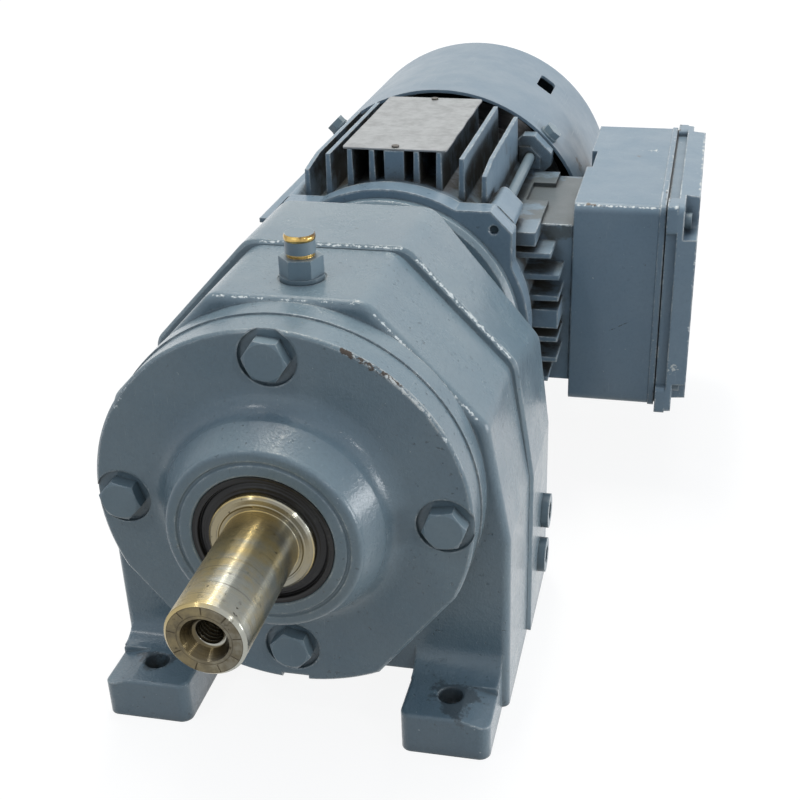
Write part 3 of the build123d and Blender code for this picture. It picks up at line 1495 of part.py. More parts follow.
# Lid: a recessed edge between corner lugs, a slightly drawn-in outer face and screw pockets
lid_front_y = box_front_y - lid_overhang_front
lid_bottom = box_bottom - lid_overhang
lid_height = box_height + 2 * lid_overhang
lid_length = box_length + lid_overhang_front
lid_middle_y = lid_front_y + lid_length / 2
lid_middle_z = lid_bottom + lid_height / 2
lid_skirt = 4.5
lid_lug = 13.0
pocket_depth = 6.0
with BuildPart() as terminal_box_lid:
    with BuildSketch(Plane.YZ.offset(lid_x)):
        with Locations((lid_middle_y, lid_middle_z)):
            RectangleRounded(lid_length - 6, lid_height - 6, box_corner)
            with GridLocations(lid_length - lid_lug, lid_height - lid_lug, 2, 2):
                RectangleRounded(lid_lug, lid_lug, 2)
    extrude(amount=lid_skirt)
    with BuildSketch(Plane.YZ.offset(lid_x + lid_skirt)):
        with Locations((lid_middle_y, lid_middle_z)):
            RectangleRounded(lid_length, lid_height, box_corner)
    extrude(amount=lid_depth - lid_skirt, taper=5)
    for place_y, place_z in box_screw_places:
        reach_y = lid_front_y if place_y < box_middle_y else lid_front_y + lid_length
        reach_z = lid_bottom if place_z < box_middle_z else lid_bottom + lid_height
        with BuildSketch(Plane.YZ.offset(lid_x + lid_depth)):
            with Locations(((place_y + reach_y) / 2, (place_z + reach_z) / 2)):
                RectangleRounded(abs(place_y - reach_y) + 9, abs(place_z - reach_z) + 9, 3)
        extrude(amount=-pocket_depth, mode=Mode.SUBTRACT)
    with BuildSketch(Plane.YZ.offset(lid_x)):
        with Locations(*box_screw_places):
            Circle(guard_screw / 2 + free_gap)
    extrude(amount=lid_depth, mode=Mode.SUBTRACT)
    # Hollow inside, over the open box
    with BuildSketch(Plane.YZ.offset(lid_x)):
        with Locations((box_middle_y, box_middle_z)):
            RectangleRounded(box_length - 4 * box_screw_inset, box_height - 2 * box_wall - 2, box_corner)
    extrude(amount=lid_depth - box_wall, mode=Mode.SUBTRACT)
terminal_box_lid.part.label = "terminal_box_lid"
export_step(terminal_box_lid.part, "parts/terminal_box_lid.step")

with BuildPart() as lid_screws:
    pocket_floor_x = lid_x + lid_depth - pocket_depth
    with BuildSketch(Plane.YZ.offset(pocket_floor_x)):
        with Locations(*box_screw_places):
            Circle(guard_screw * 0.9)
    extrude(amount=3)
    with BuildSketch(Plane.YZ.offset(pocket_floor_x)):
        with Locations(*box_screw_places):
            Circle(guard_screw / 2 - seat_gap)
    extrude(amount=-(pocket_floor_x - box_face_x + 18))
    with BuildSketch(Plane.YZ.offset(pocket_floor_x + 3)):
        with Locations(*box_screw_places):
            Rectangle(guard_screw * 1.5, 1)
            Rectangle(1, guard_screw * 1.5)
    extrude(amount=-1.4, mode=Mode.SUBTRACT)
lid_screws.part.label = "lid_screws"
export_step(lid_screws.part, "parts/lid_screws.step")

# Terminal board with six studs, the rectifier of the brake and two blanking plugs
floor_x = pad_x + box_wall
board_y = lead_y + 32.0
board_length = 34.0
board_height = 56.0
board_thickness = 8.0
stud_pitch = 15.0
with BuildPart() as terminal_board:
    with BuildSketch(Plane.YZ.offset(floor_x)):
        with Locations((board_y, shaft_height)):
            Rectangle(board_length, board_height)
    extrude(amount=board_thickness)
    with BuildSketch(Plane.YZ.offset(floor_x + board_thickness)):
        for side_z in (-1, 1):
            with Locations((board_y, shaft_height + side_z * stud_pitch / 2)):
                Rectangle(board_length, 1.6)
    extrude(amount=4)
terminal_board.part.label = "terminal_board"
export_step(terminal_board.part, "parts/terminal_board.step")

with BuildPart() as terminal_studs:
    stud_x = floor_x + board_thickness
    with BuildSketch(Plane.YZ.offset(stud_x)):
        with Locations((board_y, shaft_height)):
            with GridLocations(board_length / 2, stud_pitch, 2, 3):
                RegularPolygon(3.5, 6, major_radius=False)
    extrude(amount=3)
    with BuildSketch(Plane.YZ.offset(stud_x + 3)):
        with Locations((board_y, shaft_height)):
            with GridLocations(board_length / 2, stud_pitch, 2, 3):
                Circle(2)
    extrude(amount=7)
terminal_studs.part.label = "terminal_studs"
export_step(terminal_studs.part, "parts/terminal_studs.step")

rectifier_width = 24.0
rectifier_length = box_height - 4 * box_screw_inset
rectifier_depth = 20.0
rectifier_y = box_front_y + box_length - box_wall - rectifier_width / 2 - 4
with BuildPart() as brake_rectifier:
    with BuildSketch(Plane.YZ.offset(floor_x)):
        with Locations((rectifier_y, box_middle_z)):
            Rectangle(rectifier_width, rectifier_length)
    extrude(amount=rectifier_depth)
    with BuildSketch(Plane.YZ.offset(floor_x + rectifier_depth)):
        with Locations((rectifier_y, box_middle_z)):
            with GridLocations(0, rectifier_length / 6, 1, 5):
                Rectangle(rectifier_width * 0.7, rectifier_length / 12)
    extrude(amount=-3, mode=Mode.SUBTRACT)
brake_rectifier.part.label = "brake_rectifier"
export_step(brake_rectifier.part, "parts/brake_rectifier.step")

with BuildPart() as blanking_plugs:
    with BuildSketch(Plane.XY.offset(box_bottom)):
        with Locations(*entry_places):
            RegularPolygon(entry_thread / 2 + 2, 6, major_radius=False)
    extrude(amount=-4)
    with BuildSketch(Plane.XY.offset(box_bottom)):
        with Locations(*entry_places):
            Circle(entry_thread / 2 - seat_gap)
            Circle(entry_thread / 2 - 2.5, mode=Mode.SUBTRACT)
    extrude(amount=box_wall + 4)
blanking_plugs.part.label = "blanking_plugs"
export_step(blanking_plugs.part, "parts/blanking_plugs.step")

# Blank rating plate over the top fins, with its two rivets; its back edge lies at the fins' ends
plate_y = stator_back_y - plate_length / 2
with BuildPart() as nameplate:
    with BuildSketch(Plane.XY.offset(fin_top_z)):
        with Locations((0, plate_y)):
            RectangleRounded(plate_width, plate_length, 1.5)
            with GridLocations(0, plate_length - 6, 1, 2):
                Circle(plate_rivet, mode=Mode.SUBTRACT)
    extrude(amount=plate_thickness)
nameplate.part.label = "nameplate"
export_step(nameplate.part, "parts/nameplate.step")

with BuildPart() as nameplate_rivets:
    with BuildSketch(Plane.XY.offset(fin_top_z + plate_thickness)):
        with Locations((0, plate_y)):
            with GridLocations(0, plate_length - 6, 1, 2):
                Circle(plate_rivet_head)
    extrude(amount=0.7)
    with BuildSketch(Plane.XY.offset(fin_top_z)):
        with Locations((0, plate_y)):
            with GridLocations(0, plate_length - 6, 1, 2):
                Circle(plate_rivet - seat_gap)
    extrude(amount=plate_thickness)
nameplate_rivets.part.label = "nameplate_rivets"
export_step(nameplate_rivets.part, "parts/nameplate_rivets.step")
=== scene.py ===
import bpy
import math
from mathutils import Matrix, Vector


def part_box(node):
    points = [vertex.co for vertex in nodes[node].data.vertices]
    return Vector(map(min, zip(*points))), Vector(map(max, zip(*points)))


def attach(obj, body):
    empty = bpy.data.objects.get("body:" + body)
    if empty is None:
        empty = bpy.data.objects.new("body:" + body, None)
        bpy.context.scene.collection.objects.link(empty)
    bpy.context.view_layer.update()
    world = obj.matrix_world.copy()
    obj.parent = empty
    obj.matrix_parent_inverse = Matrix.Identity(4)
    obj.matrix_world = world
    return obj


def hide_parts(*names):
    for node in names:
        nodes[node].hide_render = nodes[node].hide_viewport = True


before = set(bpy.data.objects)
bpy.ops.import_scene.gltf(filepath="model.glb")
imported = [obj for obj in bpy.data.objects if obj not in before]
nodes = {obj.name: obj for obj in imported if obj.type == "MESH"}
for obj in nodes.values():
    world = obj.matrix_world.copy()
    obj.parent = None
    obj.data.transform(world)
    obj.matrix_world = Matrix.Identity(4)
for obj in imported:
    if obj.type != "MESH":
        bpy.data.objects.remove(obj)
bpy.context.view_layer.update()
print("frame loaded with", len(nodes), "nodes")

mm = 0.001
shaftHeight = 90 * mm


# short ways to build node trees
def link(tree, source, target):
    tree.links.new(source, target)


def addNode(tree, kind, **values):
    node = tree.nodes.new(kind)
    for key, value in values.items():
        setattr(node, key, value)
    return node


def mathNode(tree, operation, first, second=None, clamp=False):
    node = addNode(tree, "ShaderNodeMath", operation=operation, use_clamp=clamp)
    for index, value in enumerate((first, second)):
        if value is None:
            continue
        if isinstance(value, (int, float)):
            node.inputs[index].default_value = value
        else:
            link(tree, value, node.inputs[index])
    return node.outputs[0]


def rampNode(tree, value, low, high, toLow=0.0, toHigh=1.0):
    node = addNode(tree, "ShaderNodeMapRange", interpolation_type="SMOOTHSTEP")
    for index, number in zip((1, 2, 3, 4), (low, high, toLow, toHigh)):
        node.inputs[index].default_value = number
    link(tree, value, node.inputs[0])
    return node.outputs[0]


def mixColour(tree, factor, first, second, blend="MIX"):
    node = addNode(tree, "ShaderNodeMix", data_type="RGBA", blend_type=blend)
    for socket, value in ((node.inputs[0], factor), (node.inputs[6], first), (node.inputs[7], second)):
        if isinstance(value, (int, float)):
            socket.default_value = value
        elif isinstance(value, (tuple, list)):
            socket.default_value = (*value, 1.0)
        else:
            link(tree, value, socket)
    return node.outputs[2]


def noiseNode(tree, vector, scale, detail=4.0, rough=0.5):
    node = addNode(tree, "ShaderNodeTexNoise")
    node.inputs["Scale"].default_value = scale
    node.inputs["Detail"].default_value = detail
    node.inputs["Roughness"].default_value = rough
    link(tree, vector, node.inputs["Vector"])
    return node.outputs[0]


def startGroup(name, inputs, outputs):
    group = bpy.data.node_groups.new(name, "ShaderNodeTree")
    for socketName, kind, value in inputs:
        socket = group.interface.new_socket(socketName, in_out="INPUT", socket_type=kind)
        if value is not None:
            socket.default_value = value
    for socketName, kind in outputs:
        group.interface.new_socket(socketName, in_out="OUTPUT", socket_type=kind)
    source = addNode(group, "NodeGroupInput")
    target = addNode(group, "NodeGroupOutput")
    return group, source.outputs, target.inputs


# rounded edges: a mask along outside edges, which lightens them as rubbed paint and as a painted sheen,
# a glint mask of bright grains that is a painted highlight, and a normal that rolls over them
def makeEdgeGroup():
    group, given, result = startGroup(
        "RubbedAndSheenEdges",
        [
            ("Radius", "NodeSocketFloat", 0.001),
            ("Breakup", "NodeSocketFloat", 0.5),
            ("Scale", "NodeSocketFloat", 90.0),
        ],
        [("Mask", "NodeSocketFloat"), ("PaintedSparkle", "NodeSocketFloat"), ("Normal", "NodeSocketVector")],
    )
    bevel = addNode(group, "ShaderNodeBevel", samples=6)
    link(group, given["Radius"], bevel.inputs["Radius"])
    flat = addNode(group, "ShaderNodeNewGeometry")
    dot = addNode(group, "ShaderNodeVectorMath", operation="DOT_PRODUCT")
    link(group, bevel.outputs[0], dot.inputs[0])
    link(group, flat.outputs["Normal"], dot.inputs[1])
    rolled = mathNode(group, "SUBTRACT", 1.0, dot.outputs["Value"])
    # rays that leave an inside corner soon meet the other wall, which tells it from an outside edge
    corner = addNode(group, "ShaderNodeAmbientOcclusion", samples=4, only_local=True)
    link(group, mathNode(group, "MULTIPLY", given["Radius"], 2.0), corner.inputs["Distance"])
    outside = rampNode(group, corner.outputs["AO"], 0.7, 0.95)
    edge = mathNode(group, "MULTIPLY", rampNode(group, rolled, 0.004, 0.12), outside)
    coords = addNode(group, "ShaderNodeTexCoord")
    patches = addNode(group, "ShaderNodeTexNoise")
    link(group, coords.outputs["Object"], patches.inputs["Vector"])
    link(group, given["Scale"], patches.inputs["Scale"])
    patches.inputs["Detail"].default_value = 5.0
    kept = rampNode(group, patches.outputs[0], 0.35, 0.65)
    broken = mathNode(group, "MULTIPLY", mathNode(group, "SUBTRACT", 1.0, kept), given["Breakup"])
    link(
        group,
        mathNode(group, "MULTIPLY", edge, mathNode(group, "SUBTRACT", 1.0, broken)),
        result["Mask"],
    )
    # bright grains on the core of an edge, for a painted highlight
    grains = rampNode(group, noiseNode(group, coords.outputs["Object"], 620.0, 4.0, 0.7), 0.48, 0.6)
    core = mathNode(group, "MULTIPLY", rampNode(group, rolled, 0.015, 0.10), outside)
    link(
        group,
        mathNode(group, "MULTIPLY", mathNode(group, "MULTIPLY", core, grains), kept),
        result["PaintedSparkle"],
    )
    link(group, bevel.outputs[0], result["Normal"])
    return group


# surface of a casting under paint: soft pits and orange peel
def makeCastGroup():
    group, given, result = startGroup(
        "CastSkin",
        [("Coarse", "NodeSocketFloat", 0.5), ("Fine", "NodeSocketFloat", 0.5)],
        [("Height", "NodeSocketFloat"), ("Tone", "NodeSocketFloat"), ("Pits", "NodeSocketFloat")],
    )
    coords = addNode(group, "ShaderNodeTexCoord").outputs["Object"]
    coarse = noiseNode(group, coords, 210.0, 3.0, 0.55)
    fine = noiseNode(group, coords, 1100.0, 2.0, 0.6)
    lumps = noiseNode(group, coords, 45.0, 2.0, 0.5)
    # small blow holes, thicker in some places than in others
    holes = rampNode(group, noiseNode(group, coords, 620.0, 2.0, 0.4), 0.67, 0.74)
    crowd = rampNode(group, noiseNode(group, coords, 38.0, 3.0, 0.5), 0.42, 0.62)
    pits = mathNode(group, "MULTIPLY", mathNode(group, "MULTIPLY", holes, crowd), given["Coarse"], True)
    height = mathNode(
        group, "ADD",
        mathNode(group, "ADD", mathNode(group, "MULTIPLY", coarse, given["Coarse"]), lumps),
        mathNode(group, "MULTIPLY", fine, mathNode(group, "MULTIPLY", given["Fine"], 0.25)),
    )
    link(group, mathNode(group, "SUBTRACT", height, pits), result["Height"])
    link(group, noiseNode(group, coords, 26.0, 6.0, 0.6), result["Tone"])
    link(group, pits, result["Pits"])
    return group


# dust and grease in corners, and painted shade there: the ambient occlusion darkens every corner
def makeGrimeAndShadeGroup():
    group, given, result = startGroup(
        "CornerGrimeAndShade",
        [("Reach", "NodeSocketFloat", 0.006), ("Amount", "NodeSocketFloat", 0.5)],
        [("Mask", "NodeSocketFloat")],
    )
    occlusion = addNode(group, "ShaderNodeAmbientOcclusion", samples=6, only_local=False)
    link(group, given["Reach"], occlusion.inputs["Distance"])
    closed = rampNode(group, occlusion.outputs["AO"], 0.3, 0.95, 1.0, 0.0)
    closed = mathNode(group, "MULTIPLY", closed, closed)
    coords = addNode(group, "ShaderNodeTexCoord").outputs["Object"]
    patchy = rampNode(group, noiseNode(group, coords, 70.0, 6.0, 0.65), 0.3, 0.62, 0.35, 1.0)
    link(
        group,
        mathNode(group, "MULTIPLY", mathNode(group, "MULTIPLY", closed, patchy), given["Amount"], True),
        result["Mask"],
    )
    return group


# a ragged patch round one point, for scuffs, chips and painted highlights in a known place
def makePatchGroup():
    group, given, result = startGroup(
        "RaggedPatch",
        [
            ("Centre", "NodeSocketVector", None),
            ("Reach", "NodeSocketFloat", 0.01),
            ("Scale", "NodeSocketFloat", 300.0),
            ("Cover", "NodeSocketFloat", 0.5),
        ],
        [("Mask", "NodeSocketFloat")],
    )
    coords = addNode(group, "ShaderNodeTexCoord").outputs["Object"]
    away = addNode(group, "ShaderNodeVectorMath", operation="DISTANCE")
    link(group, coords, away.inputs[0])
    link(group, given["Centre"], away.inputs[1])
    near = mathNode(
        group, "SUBTRACT", 1.0, mathNode(group, "DIVIDE", away.outputs["Value"], given["Reach"]), True,
    )
    ragged = addNode(group, "ShaderNodeTexNoise")
    link(group, coords, ragged.inputs["Vector"])
    link(group, given["Scale"], ragged.inputs["Scale"])
    ragged.inputs["Detail"].default_value = 6.0
    ragged.inputs["Roughness"].default_value = 0.7
    level = mathNode(group, "ADD", mathNode(group, "MULTIPLY", near, given["Cover"]), ragged.outputs[0])
    link(group, rampNode(group, level, 0.72, 0.8), result["Mask"])
    return group


# a broken line between two points, for worn edges, single scratches and painted highlight lines
def makeLineGroup():
    group, given, result = startGroup(
        "BrokenLine",
        [
            ("Start", "NodeSocketVector", None),
            ("End", "NodeSocketVector", None),
            ("Reach", "NodeSocketFloat", 0.001),
            ("Scale", "NodeSocketFloat", 400.0),
            ("Cover", "NodeSocketFloat", 0.3),
        ],
        [("Mask", "NodeSocketFloat")],
    )

    def vectorNode(operation, first, second, output="Vector"):
        node = addNode(group, "ShaderNodeVectorMath", operation=operation)
        link(group, first, node.inputs[0])
        link(group, second, node.inputs[1])
        return node.outputs[output]

    coords = addNode(group, "ShaderNodeTexCoord").outputs["Object"]
    span = vectorNode("SUBTRACT", given["End"], given["Start"])
    offset = vectorNode("SUBTRACT", coords, given["Start"])
    share = mathNode(
        group,
        "DIVIDE",
        vectorNode("DOT_PRODUCT", offset, span, "Value"),
        vectorNode("DOT_PRODUCT", span, span, "Value"),
        True,
    )
    foot = addNode(group, "ShaderNodeVectorMath", operation="SCALE")
    link(group, span, foot.inputs[0])
    link(group, share, foot.inputs["Scale"])
    away = vectorNode("DISTANCE", offset, foot.outputs[0], "Value")
    near = mathNode(group, "SUBTRACT", 1.0, mathNode(group, "DIVIDE", away, given["Reach"]), True)
    broken = addNode(group, "ShaderNodeTexNoise")
    link(group, coords, broken.inputs["Vector"])
    link(group, given["Scale"], broken.inputs["Scale"])
    broken.inputs["Detail"].default_value = 5.0
    broken.inputs["Roughness"].default_value = 0.7
    level = mathNode(group, "ADD", mathNode(group, "MULTIPLY", near, given["Cover"]), broken.outputs[0])
    link(group, rampNode(group, level, 0.70, 0.78), result["Mask"])
    return group


# fine scratches along two crossing directions
def makeScratchGroup():
    group, given, result = startGroup(
        "FineScratches",
        [("Amount", "NodeSocketFloat", 0.5)],
        [("Mask", "NodeSocketFloat")],
    )
    coords = addNode(group, "ShaderNodeTexCoord").outputs["Object"]
    total = None
    for turn, seed in (((0.3, 0.5, 0.2), 0.0), ((-0.5, 0.2, 0.9), 7.0)):
        stretched = addNode(group, "ShaderNodeMapping")
        stretched.inputs["Location"].default_value = (seed, seed, seed)
        stretched.inputs["Rotation"].default_value = turn
        stretched.inputs["Scale"].default_value = (2600.0, 30.0, 140.0)
        link(group, coords, stretched.inputs["Vector"])
        lines = rampNode(group, noiseNode(group, stretched.outputs[0], 1.0, 2.0, 0.5), 0.69, 0.75)
        total = lines if total is None else mathNode(group, "MAXIMUM", total, lines)
    where = rampNode(group, noiseNode(group, coords, 30.0, 2.0, 0.5), 0.42, 0.62)
    link(
        group,
        mathNode(group, "MULTIPLY", mathNode(group, "MULTIPLY", total, where), given["Amount"], True),
        result["Mask"],
    )
    return group


edgeGroup = makeEdgeGroup()
castGroup = makeCastGroup()
grimeAndShadeGroup = makeGrimeAndShadeGroup()
patchGroup = makePatchGroup()
lineGroup = makeLineGroup()
scratchGroup = makeScratchGroup()


def placeGroup(tree, group, **values):
    node = addNode(tree, "ShaderNodeGroup", node_tree=group)
    for key, value in values.items():
        node.inputs[key].default_value = value
    return node


def startMaterial(name, metallic=0.0, roughness=0.5, coat=0.0, specular=0.3):
    material = bpy.data.materials.new(name)
    material.use_nodes = True
    tree = material.node_tree
    shader = tree.nodes["Principled BSDF"]
    shader.inputs["Metallic"].default_value = metallic
    shader.inputs["Roughness"].default_value = roughness
    shader.inputs["Coat Weight"].default_value = coat
    shader.inputs["Coat Roughness"].default_value = 0.17
    shader.inputs["Specular IOR Level"].default_value = specular
    return material, tree, shader


def bumpFrom(tree, shader, height, strength, distance, normal=None):
    bump = addNode(tree, "ShaderNodeBump")
    bump.inputs["Strength"].default_value = strength
    bump.inputs["Distance"].default_value = distance
    link(tree, height, bump.inputs["Height"])
    if normal is not None:
        link(tree, normal, bump.inputs["Normal"])
    link(tree, bump.outputs[0], shader.inputs["Normal"])


# painted surfaces: colours of the paint and of what lies on it
paintLook = {
    "colour": (0.158, 0.221, 0.264),
    "faded": (0.196, 0.255, 0.290),
    "motorColour": (0.176, 0.250, 0.318),
    "motorFaded": (0.206, 0.276, 0.338),
    "guardColour": (0.160, 0.224, 0.284),
    "guardFaded": (0.188, 0.248, 0.302),
    # lighter paint rubbed on edges and by scratches; on edges it is also a painted sheen
    "rubbedAndSheen": (0.44, 0.49, 0.51),
    # near-white of painted highlights on edges
    "paintedHighlight": (0.80, 0.83, 0.82),
    "chip": (0.66, 0.67, 0.65),
    "pit": (0.070, 0.082, 0.090),
    # near-black grime, which also paints shade into corners
    "grimeAndShade": (0.040, 0.038, 0.032),
    "rust": (0.062, 0.046, 0.036),
    "scuff": (0.16, 0.135, 0.105),
    "soot": (0.055, 0.062, 0.066),
    "dust": (0.118, 0.140, 0.150),
    "footDust": (0.105, 0.128, 0.142),
}
# patches: centre and reach in mm, noise scale, cover, colour, only on edges
castPatches = [
    ((35, -70, 147), 15, 330, 0.62, "rust", True),
    ((31, -70, 149), 13, 500, 0.50, "chip", True),
    ((45, -70, 139), 18, 420, 0.56, "chip", True),
    ((54, -70, 127), 12, 600, 0.42, "chip", True),
    ((57, -68, 16), 24, 55, 0.40, "footDust", False),
    ((-57, -66, 16), 20, 70, 0.30, "footDust", False),
    ((-40, -50, 150), 24, 160, 0.26, "dust", False),
]
finPatches = [
    # a broad darker patch over the top of the pad beside the terminal box
    ((66, 152, 127), 50, 25, 0.60, "dust", False),
]
guardPatches = [
    ((66, 222, 123), 17, 130, 0.30, "soot", False),
    ((70, 214, 115), 16, 220, 0.26, "scuff", False),
]
boxPatches = [
    ((104, 205, 137), 5, 700, 0.30, "chip", False),
    ((97, 195, 137), 5, 500, 0.28, "scuff", False),
    ((126, 116, 128), 22, 380, 0.42, "chip", True),
    ((127, 116, 95), 26, 420, 0.36, "chip", True),
    ((118, 116, 72), 14, 500, 0.40, "chip", True),
    ((121, 116, 64), 5, 600, 0.34, "chip", False),
    ((114, 118, 44), 14, 500, 0.38, "chip", True),
    ((82, 120, 137), 12, 420, 0.40, "rust", True),
    # painted highlights along the top front edge of the box
    ((96, 120, 137), 30, 330, 0.42, "paintedHighlight", True),
    ((112, 135, 136), 40, 360, 0.36, "paintedHighlight", True),
]

# worn lines and painted highlight lines: start and end in mm, reach in mm, noise scale, cover, colour
castLines = [
    # painted highlights along the front edges of the rear and the front block
    ((-24, -1.4, 157.6), (27, -1.4, 157.6), 1.1, 640, 0.29, "paintedHighlight"),
    ((32.8, -1.4, 153.6), (65.7, -1.4, 118.9), 1.2, 640, 0.32, "paintedHighlight"),
    ((-25, -48, 155.7), (25, -48, 155.7), 1.2, 600, 0.25, "paintedHighlight"),
    ((29, -47.9, 152.2), (62, -47.9, 117.8), 1.2, 600, 0.26, "paintedHighlight"),
    ((24, -69.8, 149.8), (42, -69.8, 139), 1.7, 420, 0.36, "rust"),
    ((27, -70.3, 148.6), (40, -70.3, 140.6), 1.0, 700, 0.26, "chip"),
    ((39, -70.3, 141.4), (52, -70.3, 128.3), 1.5, 420, 0.30, "chip"),
    # painted highlights on the rim of the cover
    ((52.5, -70.3, 127.6), (60, -70.3, 114), 1.2, 420, 0.22, "paintedHighlight"),
    ((-60, -70.3, 114), (-46, -70.3, 135.4), 1.2, 420, 0.22, "paintedHighlight"),
]
finLines = [
    # a painted highlight along the front top edge of the pad
    ((60, 121, 126.6), (74.4, 121, 126.6), 0.9, 420, 0.36, "paintedHighlight"),
]
boxLines = [
    # a painted highlight along the top front edge of the box
    ((76, 121.2, 135.9), (113, 121.2, 135.9), 1.2, 560, 0.28, "paintedHighlight"),
    ((80, 121.4, 136.2), (88, 121, 136), 1.8, 260, 0.30, "rust"),
    ((113, 124, 137), (113, 248, 137), 1.3, 300, 0.24, "chip"),
    ((112.6, 130, 137), (112.6, 165, 137), 1.6, 260, 0.26, "rust"),
    # a painted highlight along the top front edge of the lid
    ((115, 116.4, 138.2), (127, 116.4, 138.2), 1.5, 360, 0.30, "paintedHighlight"),
    ((127, 118, 138.4), (127, 249, 138.4), 1.5, 320, 0.26, "chip"),
    ((114.6, 118, 138.5), (114.6, 249, 138.5), 1.3, 320, 0.24, "rust"),
    # painted highlights down the front edges of the lid
    ((127.2, 116.2, 137), (127.2, 116.2, 92), 1.4, 340, 0.30, "paintedHighlight"),
    ((127.2, 116.2, 92), (127.2, 116.2, 42), 1.3, 340, 0.25, "paintedHighlight"),
    ((114.5, 116.1, 137), (114.5, 116.1, 42), 1.0, 340, 0.22, "paintedHighlight"),
    ((92, 120, 78.8), (102, 120, 84.5), 0.55, 520, 0.30, "pit"),
]


def paintMaterial(
    name,
    edgeRadius,
    rubAndSheen,
    cast,
    fine,
    chips,
    roughness,
    grimeAndShade=0.55,
    reach=9,
    bump=0.5,
    scratches=0.2,
    patches=(),
    lines=(),
    batch=("colour", "faded"),
):
    material, tree, shader = startMaterial(name, roughness=roughness, coat=0.24)
    edges = placeGroup(tree, edgeGroup, Radius=edgeRadius, Breakup=0.75, Scale=130.0)
    skin = placeGroup(tree, castGroup, Coarse=cast, Fine=fine)
    dirtAndShade = placeGroup(tree, grimeAndShadeGroup, Reach=reach * mm, Amount=grimeAndShade)
    marks = placeGroup(tree, scratchGroup, Amount=scratches)
    coords = addNode(tree, "ShaderNodeTexCoord").outputs["Object"]
    colour = mixColour(
        tree, rampNode(tree, skin.outputs["Tone"], 0.3, 0.7), *(paintLook[key] for key in batch),
    )
    # the paint's own grain, then the pits of the casting
    grain = rampNode(tree, noiseNode(tree, coords, 760.0, 3.0, 0.65), 0.42, 0.7, 0.0, 0.09)
    colour = mixColour(tree, grain, colour, paintLook["pit"])
    colour = mixColour(
        tree, mathNode(tree, "MULTIPLY", skin.outputs["Pits"], 0.8, True), colour, paintLook["pit"],
    )
    colour = mixColour(tree, marks.outputs["Mask"], colour, paintLook["rubbedAndSheen"])
    # edges lightened as rubbed paint and as a painted sheen
    colour = mixColour(
        tree, mathNode(tree, "MULTIPLY", edges.outputs["Mask"], rubAndSheen), colour, paintLook["rubbedAndSheen"],
    )
    # a painted highlight: bright grains on the edges
    colour = mixColour(
        tree, mathNode(tree, "MULTIPLY", edges.outputs["PaintedSparkle"], rubAndSheen), colour, paintLook["paintedHighlight"],
    )
    # chips sit where the edge mask and a coarse noise meet
    spots = rampNode(tree, noiseNode(tree, coords, 190.0, 6.0, 0.7), 0.62, 0.65)
    chipMask = mathNode(
        tree,
        "MULTIPLY",
        mathNode(tree, "MULTIPLY", spots, rampNode(tree, edges.outputs["Mask"], 0.2, 0.5)),
        chips,
    )
    colour = mixColour(tree, chipMask, colour, paintLook["chip"])
    for centre, size, scale, cover, tint, onEdge in patches:
        patch = placeGroup(
            tree,
            patchGroup,
            Centre=[c * mm for c in centre],
            Reach=size * mm,
            Scale=scale,
            Cover=cover,
        )
        mask = patch.outputs["Mask"]
        if onEdge:
            mask = mathNode(tree, "MULTIPLY", mask, rampNode(tree, edges.outputs["Mask"], 0.05, 0.3))
        colour = mixColour(tree, mask, colour, paintLook[tint])
    for start, end, reachOut, scale, cover, tint in lines:
        line = placeGroup(
            tree,
            lineGroup,
            Start=[c * mm for c in start],
            End=[c * mm for c in end],
            Reach=reachOut * mm,
            Scale=scale,
            Cover=cover,
        )
        colour = mixColour(tree, line.outputs["Mask"], colour, paintLook[tint])
    # grime and painted shade darken the corners
    link(
        tree,
        mixColour(tree, dirtAndShade.outputs["Mask"], colour, paintLook["grimeAndShade"]),
        shader.inputs["Base Color"],
    )
    roughTone = rampNode(
        tree, noiseNode(tree, coords, 60.0, 5.0, 0.6), 0.25, 0.75, roughness - 0.07, roughness + 0.1,
    )
    link(
        tree,
        mathNode(tree, "ADD", roughTone, mathNode(tree, "MULTIPLY", dirtAndShade.outputs["Mask"], 0.25)),
        shader.inputs["Roughness"],
    )
    height = mathNode(
        tree,
        "SUBTRACT",
        skin.outputs["Height"],
        mathNode(tree, "MULTIPLY", marks.outputs["Mask"], 0.3),
    )
    bumpFrom(tree, shader, height, bump, 0.0005, edges.outputs["Normal"])
    return material, tree, shader


motorBatch = ("motorColour", "motorFaded")
paints = {
    "castPaint": {
        "edgeRadius": 0.0014, "rubAndSheen": 0.95, "cast": 0.5, "fine": 1.6, "chips": 0.3, "roughness": 0.22,
        "bump": 0.85, "patches": castPatches, "lines": castLines,
    },
    "flangePaint": {
        "edgeRadius": 0.0018, "rubAndSheen": 0.95, "cast": 0.5, "fine": 1.0, "chips": 0.3, "roughness": 0.30,
        "bump": 0.6, "batch": motorBatch,
    },
    # the fin paint darkens far into the gaps between the fins, as grime and painted shade
    "finPaint": {
        "edgeRadius": 0.0013, "rubAndSheen": 0.95, "cast": 0.3, "fine": 0.5, "chips": 0.2, "roughness": 0.42,
        "grimeAndShade": 1.1, "reach": 22, "bump": 0.35, "patches": finPatches, "lines": finLines,
        "batch": motorBatch,
    },
    "sheetPaint": {
        "edgeRadius": 0.0006, "rubAndSheen": 0.5, "cast": 0.06, "fine": 0.25, "chips": 0.1, "roughness": 0.42,
        "bump": 0.2, "scratches": 0.45, "patches": guardPatches, "batch": ("guardColour", "guardFaded"),
    },
    "boxPaint": {
        "edgeRadius": 0.0012, "rubAndSheen": 0.8, "cast": 0.15, "fine": 0.5, "chips": 0.9, "roughness": 0.40,
        "bump": 0.3, "scratches": 0.25, "patches": boxPatches, "lines": boxLines, "batch": motorBatch,
    },
    "boltPaint": {
        "edgeRadius": 0.0006, "rubAndSheen": 0.8, "cast": 0.2, "fine": 0.4, "chips": 0.6, "roughness": 0.38,
        "bump": 0.3,
    },
}
